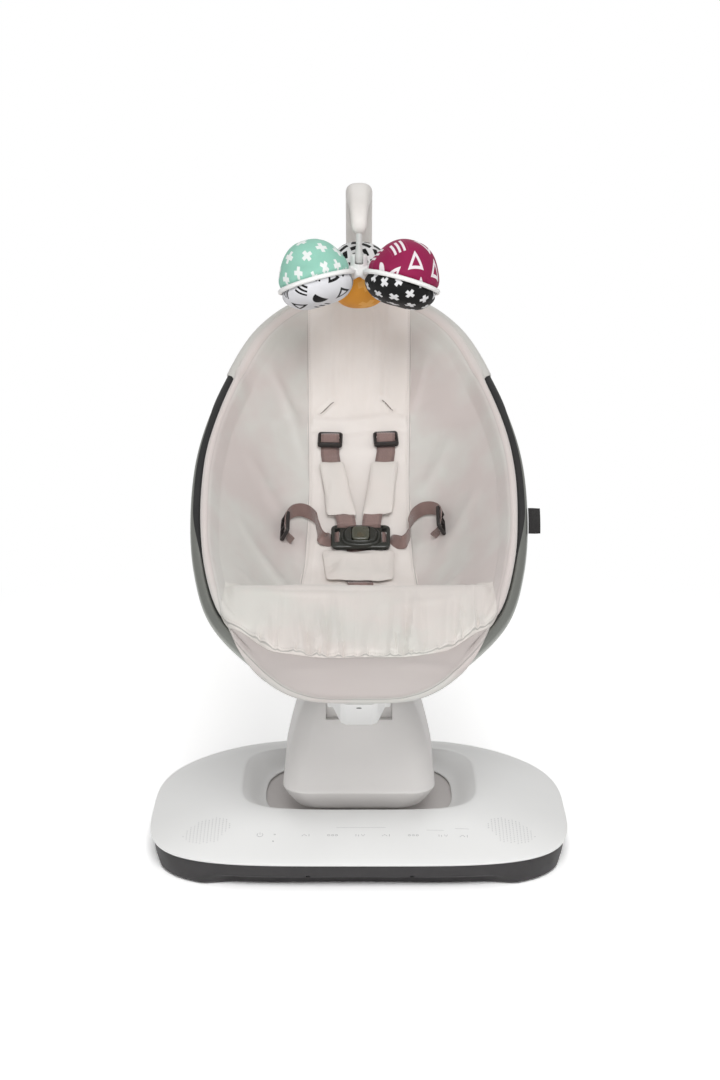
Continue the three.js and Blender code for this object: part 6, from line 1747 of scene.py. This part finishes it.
def tube(name, path, radii, sides=16, closed=False):
    """Round bar along a path with its own radius at each place."""
    ahead = unit(np.roll(path, -1, 0) - np.roll(path, 1, 0) if closed else np.gradient(path, axis=0))
    lead = np.cross(ahead[0], (0.3, 0.2, 0.9))
    sections = []
    turn = full_turn(sides)
    for point, direction, radius in zip(path, ahead, np.broadcast_to(radii, len(path))):
        lead = lead - (lead @ direction) * direction
        lead /= np.linalg.norm(lead)
        other = np.cross(direction, lead)
        sections.append(point + radius * (np.cos(turn)[:, None] * lead + np.sin(turn)[:, None] * other))
    return loft(name, sections, around=closed)


def make_toy_frame():
    """White frame: three hoops that flow into a saddle round the pin."""
    hub = [(8.2, 652.4), (10, 653.6), (10.7, 656), (10.7, 662), (10.4, 669), (10.2, 675), (9.4, 677.4),
           (8.0, 678), (6.4, 677.4), (6.0, 675), (6.0, 658), (5.4, 654), (5.0, 652.4)]
    parts = [spin("hub", hub, (0, MOBILE_Y, 0), 48, around=True)]
    base = np.array([0, MOBILE_Y, 657.0])
    phi = full_turn(120)
    swell = 3.05 + 2.2 * hump(phi - np.pi, 0.6)
    for row in TOYS.values():
        centre, outward, side, _, scale = toy_axes(*row[:3])
        hoop = centre + HOOP_RADIUS * scale * (np.cos(phi)[:, None] * outward + np.sin(phi)[:, None] * side)
        parts.append(tube("hoop", hoop, swell, closed=True))
        for way in (-1, 1):
            inner, end = (centre + HOOP_RADIUS * scale * (math.cos(np.pi + way * turned) * outward
                                                          + math.sin(np.pi + way * turned) * side)
                          for turned in (0.16, 0.62))
            level = np.array([outward[0], outward[1], 0]) / np.hypot(*outward[:2])
            start = base + 7.6 * level + side * way * 2.5
            arm = smooth_path([start, (start + inner) / 2 - (0, 0, 1.0), inner, end], fine=6)
            parts.append(tube("arm", arm, lerp(8.2, 3.3, np.linspace(0, 1, len(arm)) ** 1.5)))
    made = join("toy_frame", *parts)
    modify(made, "REMESH", mode="VOXEL", voxel_size=1.0 * MM, use_smooth_shade=True)
    subtract(made, cylinder("bore", 6.0, 24, (0, MOBILE_Y, 676), "z", 48))
    subtract(made, block("notch", (-4.9, MOBILE_Y - 16, 667), (4.9, MOBILE_Y, 690), 1.2))
    modify(made, "SMOOTH", factor=0.5, iterations=6)
    turn_outwards(made)
    dress(made, "mobile", "white shell", ["mobile_frame"], smooth=60)


# ---------------- stage
def make_floor():
    """Pale floor that keeps the shadow near the swing and turns to plain white further out."""
    deselect()
    bpy.ops.mesh.primitive_plane_add(size=120, location=(0, 0, -0.0005))
    floor = named("floor")
    f = Finish("floor_pale")
    f.nodes.remove(f.shader)
    seen = f.node("LightPath")
    rays = seen.node.outputs
    shown = f.math("ADD", f.math("ADD", rays["Is Camera Ray"], rays["Is Glossy Ray"]),
                   rays["Is Transmission Ray"], clamp=True)
    where = f.place()
    far = f.node("VectorMath", where, operation="LENGTH", out=1)
    cloud = f.noise(where, 1.2, 2)
    pale = f.mix(f.between(cloud, 0.3, 0.7), (0.80, 0.80, 0.80, 1), (0.83, 0.83, 0.83, 1))
    diffuse = f.node("BsdfDiffuse", f.mix(shown, pale, (1.45, 1.45, 1.455, 1)))
    white = f.node("Emission", (1, 1, 1, 1), 1.0)
    edge = f.node("MapRange", far, 0.42, 1.15, interpolation_type="SMOOTHSTEP")
    both = f.node("MixShader", f.times(edge, shown), diffuse, white)
    f.links.new(both, f.nodes["Material Output"].inputs["Surface"])
    floor.data.materials.append(f.material)


def make_world():
    """Soft even light that the camera and transmission rays see as plain white."""
    world = bpy.data.worlds.new("studio")
    bpy.context.scene.world = world
    world.use_nodes = True
    nodes, links = world.node_tree.nodes, world.node_tree.links
    soft, white = nodes["Background"], nodes.new("ShaderNodeBackground")
    for node, colour, strength in ((soft, (1.0, 0.995, 0.985, 1), 0.50), (white, (1, 1, 1, 1), 1.0)):
        node.inputs["Color"].default_value = colour
        node.inputs["Strength"].default_value = strength
    path = nodes.new("ShaderNodeLightPath")
    shown = nodes.new("ShaderNodeMath")
    shown.operation = "ADD"
    shown.use_clamp = True
    mixer = nodes.new("ShaderNodeMixShader")
    for output, socket in ((path.outputs["Is Camera Ray"], shown.inputs[0]),
                           (path.outputs["Is Transmission Ray"], shown.inputs[1]),
                           (shown.outputs[0], mixer.inputs[0]), (soft.outputs[0], mixer.inputs[1]),
                           (white.outputs[0], mixer.inputs[2]),
                           (mixer.outputs[0], nodes["World Output"].inputs["Surface"])):
        links.new(output, socket)


def make_lamps():
    for name, place, size, power in (("key", (0.2, -2.7, 2.7), 1.6, 60), ("left", (-2.3, -1.5, 1.4), 1.6, 6),
                                     ("right", (2.3, -1.5, 1.4), 1.6, 6), ("front", (0, -3, 0.7), 2.0, 15),
                                     ("back", (0, 2.2, 2.4), 1.4, 11)):
        deselect()
        bpy.ops.object.light_add(type="AREA", location=place)
        lamp = named(name)
        set_up(lamp.data, shape="DISK", size=size, energy=power)
        lamp.rotation_euler = (Vector((0, 0, 0.35)) - Vector(place)).to_track_quat("-Z", "Y").to_euler()


def make_camera():
    """Camera in front of the swing, a little above it."""
    tilt = math.radians(15)
    target = Vector((0, JOINTS["recline"]["pos_m"][1] + 0.048, 0.36))
    deselect()
    bpy.ops.object.camera_add(location=target + 2.6 * Vector((0, -math.cos(tilt), math.sin(tilt))),
                              rotation=(math.pi / 2 - tilt, 0, 0))
    camera = named("front_camera")
    set_up(camera.data, sensor_fit="VERTICAL", sensor_height=36, lens=73.1156667, shift_x=0.000925926,
           shift_y=-0.0025, clip_end=50)
    bpy.context.scene.camera = camera
    bpy.context.scene.view_settings.view_transform = "Standard"


# ---------------- add-on
def colour_setting(name, what, default):
    return bpy.props.FloatVectorProperty(name=name, description=what, subtype="COLOR", size=4, min=0, max=1,
                                         default=default)


def size_setting(name, what, default):
    return bpy.props.FloatProperty(name=name, description=what, subtype="DISTANCE", unit="LENGTH", min=0.0001,
                                   default=default * MM)


class SwingColours(bpy.types.PropertyGroup):
    """Colours of the swing's finishes."""
    white_shell: colour_setting("White shell", "Top of the base and the seat rail", shade(236, 236, 235))
    grey_shell: colour_setting("Grey shell", "Tower, guide and toy bar", shade(217, 214, 212))
    pan: colour_setting("Pan", "Underside of the base", shade(48, 46, 47))
    cloth: colour_setting("Cloth", "Middle panel and front of the seat", shade(222, 215, 210))
    cloth_sides: colour_setting("Side cloth", "Sides and rim of the seat", shade(200, 191, 188))
    webbing: colour_setting("Webbing", "Harness straps", shade(134, 110, 105))
    buckle: colour_setting("Buckle", "Buckle and sliders", shade(46, 47, 43))
    mint: colour_setting("Mint toy", "Upper half of the left toy", shade(148, 202, 184))
    magenta: colour_setting("Magenta toy", "Upper half of the right toy", shade(146, 24, 76))
    orange: colour_setting("Orange toy", "Lower half of the rear toy", shade(224, 152, 56))


class SwingSizes(bpy.types.PropertyGroup):
    """Sizes of the details that lie on the swing's pieces."""
    weave: size_setting("Weave", "Distance between threads of the seat cloth", 0.62)
    seam: size_setting("Seam depth", "How far the seams of the seat cloth are drawn in", 1.1)
    strap: size_setting("Strap width", "Width of the waist straps", 17)
    grille_hole: size_setting("Grille hole", "Radius of a sound hole over a speaker", 0.75)


def colours():
    return bpy.context.scene.swing_colours


def sizes():
    return bpy.context.scene.swing_sizes


class SWING_OT_stage(bpy.types.Operator):
    """Make the floor, the lamps, the world and the camera"""
    bl_idname = "swing.stage"
    bl_label = "Stage"

    def execute(self, context):
        make_floor()
        make_world()
        make_lamps()
        make_camera()
        return {"FINISHED"}


class SWING_OT_base(bpy.types.Operator):
    """Make the base: top, pan, speaker grilles, control marks and feet"""
    bl_idname = "swing.base"
    bl_label = "Base"

    def execute(self, context):
        make_base()
        return {"FINISHED"}


class SWING_OT_tower(bpy.types.Operator):
    """Make the tower with its neck, the rail's guide and the clamp knob"""
    bl_idname = "swing.tower"
    bl_label = "Tower"

    def execute(self, context):
        make_tower()
        make_neck()
        make_guide()
        make_knob()
        return {"FINISHED"}


class SWING_OT_rail(bpy.types.Operator):
    """Make the curved seat rail"""
    bl_idname = "swing.rail"
    bl_label = "Seat rail"

    def execute(self, context):
        make_rail()
        return {"FINISHED"}


class SWING_OT_ring(bpy.types.Operator):
    """Make the seat ring and the toy bar with its pin"""
    bl_idname = "swing.ring"
    bl_label = "Ring and toy bar"

    def execute(self, context):
        make_ring()
        make_toy_bar()
        return {"FINISHED"}


class SWING_OT_cover(bpy.types.Operator):
    """Make the padded seat cover, its panel and bolster, and the sling below"""
    bl_idname = "swing.cover"
    bl_label = "Seat cover"

    def execute(self, context):
        make_soft_seat()
        return {"FINISHED"}


class SWING_OT_harness(bpy.types.Operator):
    """Make the harness: pads, straps, adjusters, sliders and buckle, and the side tag"""
    bl_idname = "swing.harness"
    bl_label = "Harness"

    def execute(self, context):
        make_harness()
        return {"FINISHED"}


class SWING_OT_toys(bpy.types.Operator):
    """Make the turning frame and its three toys"""
    bl_idname = "swing.toys"
    bl_label = "Toys"

    def execute(self, context):
        make_mobile()
        return {"FINISHED"}


class SWING_OT_drive(bpy.types.Operator):
    """Give the drive, the toy bar's socket and the mirror their finishes"""
    bl_idname = "swing.drive"
    bl_label = "Drive finishes"

    def execute(self, context):
        dress_hidden()
        return {"FINISHED"}


STEPS = (SWING_OT_stage, SWING_OT_base, SWING_OT_tower, SWING_OT_rail, SWING_OT_ring, SWING_OT_cover,
         SWING_OT_harness, SWING_OT_toys, SWING_OT_drive)


class SWING_PT_panel(bpy.types.Panel):
    """Steps and settings of the swing"""
    bl_idname = "SWING_PT_panel"
    bl_label = "Baby Swing"
    bl_space_type = "VIEW_3D"
    bl_region_type = "UI"
    bl_category = "Baby Swing"

    def draw(self, context):
        for settings in (context.scene.swing_colours, context.scene.swing_sizes):
            box = self.layout.box()
            for key in settings.__annotations__:
                box.prop(settings, key)
        for step in STEPS:
            self.layout.operator(step.bl_idname)


CLASSES = (SwingColours, SwingSizes, *STEPS, SWING_PT_panel)


def register():
    for cls in CLASSES:
        bpy.utils.register_class(cls)
    bpy.types.Scene.swing_colours = bpy.props.PointerProperty(type=SwingColours)
    bpy.types.Scene.swing_sizes = bpy.props.PointerProperty(type=SwingSizes)


def unregister():
    del bpy.types.Scene.swing_sizes
    del bpy.types.Scene.swing_colours
    for cls in reversed(CLASSES):
        bpy.utils.unregister_class(cls)


def main():
    register()
    for step in STEPS:
        group, name = step.bl_idname.split(".")
        getattr(getattr(bpy.ops, group), name)()


if __name__ == "__main__":
    main()
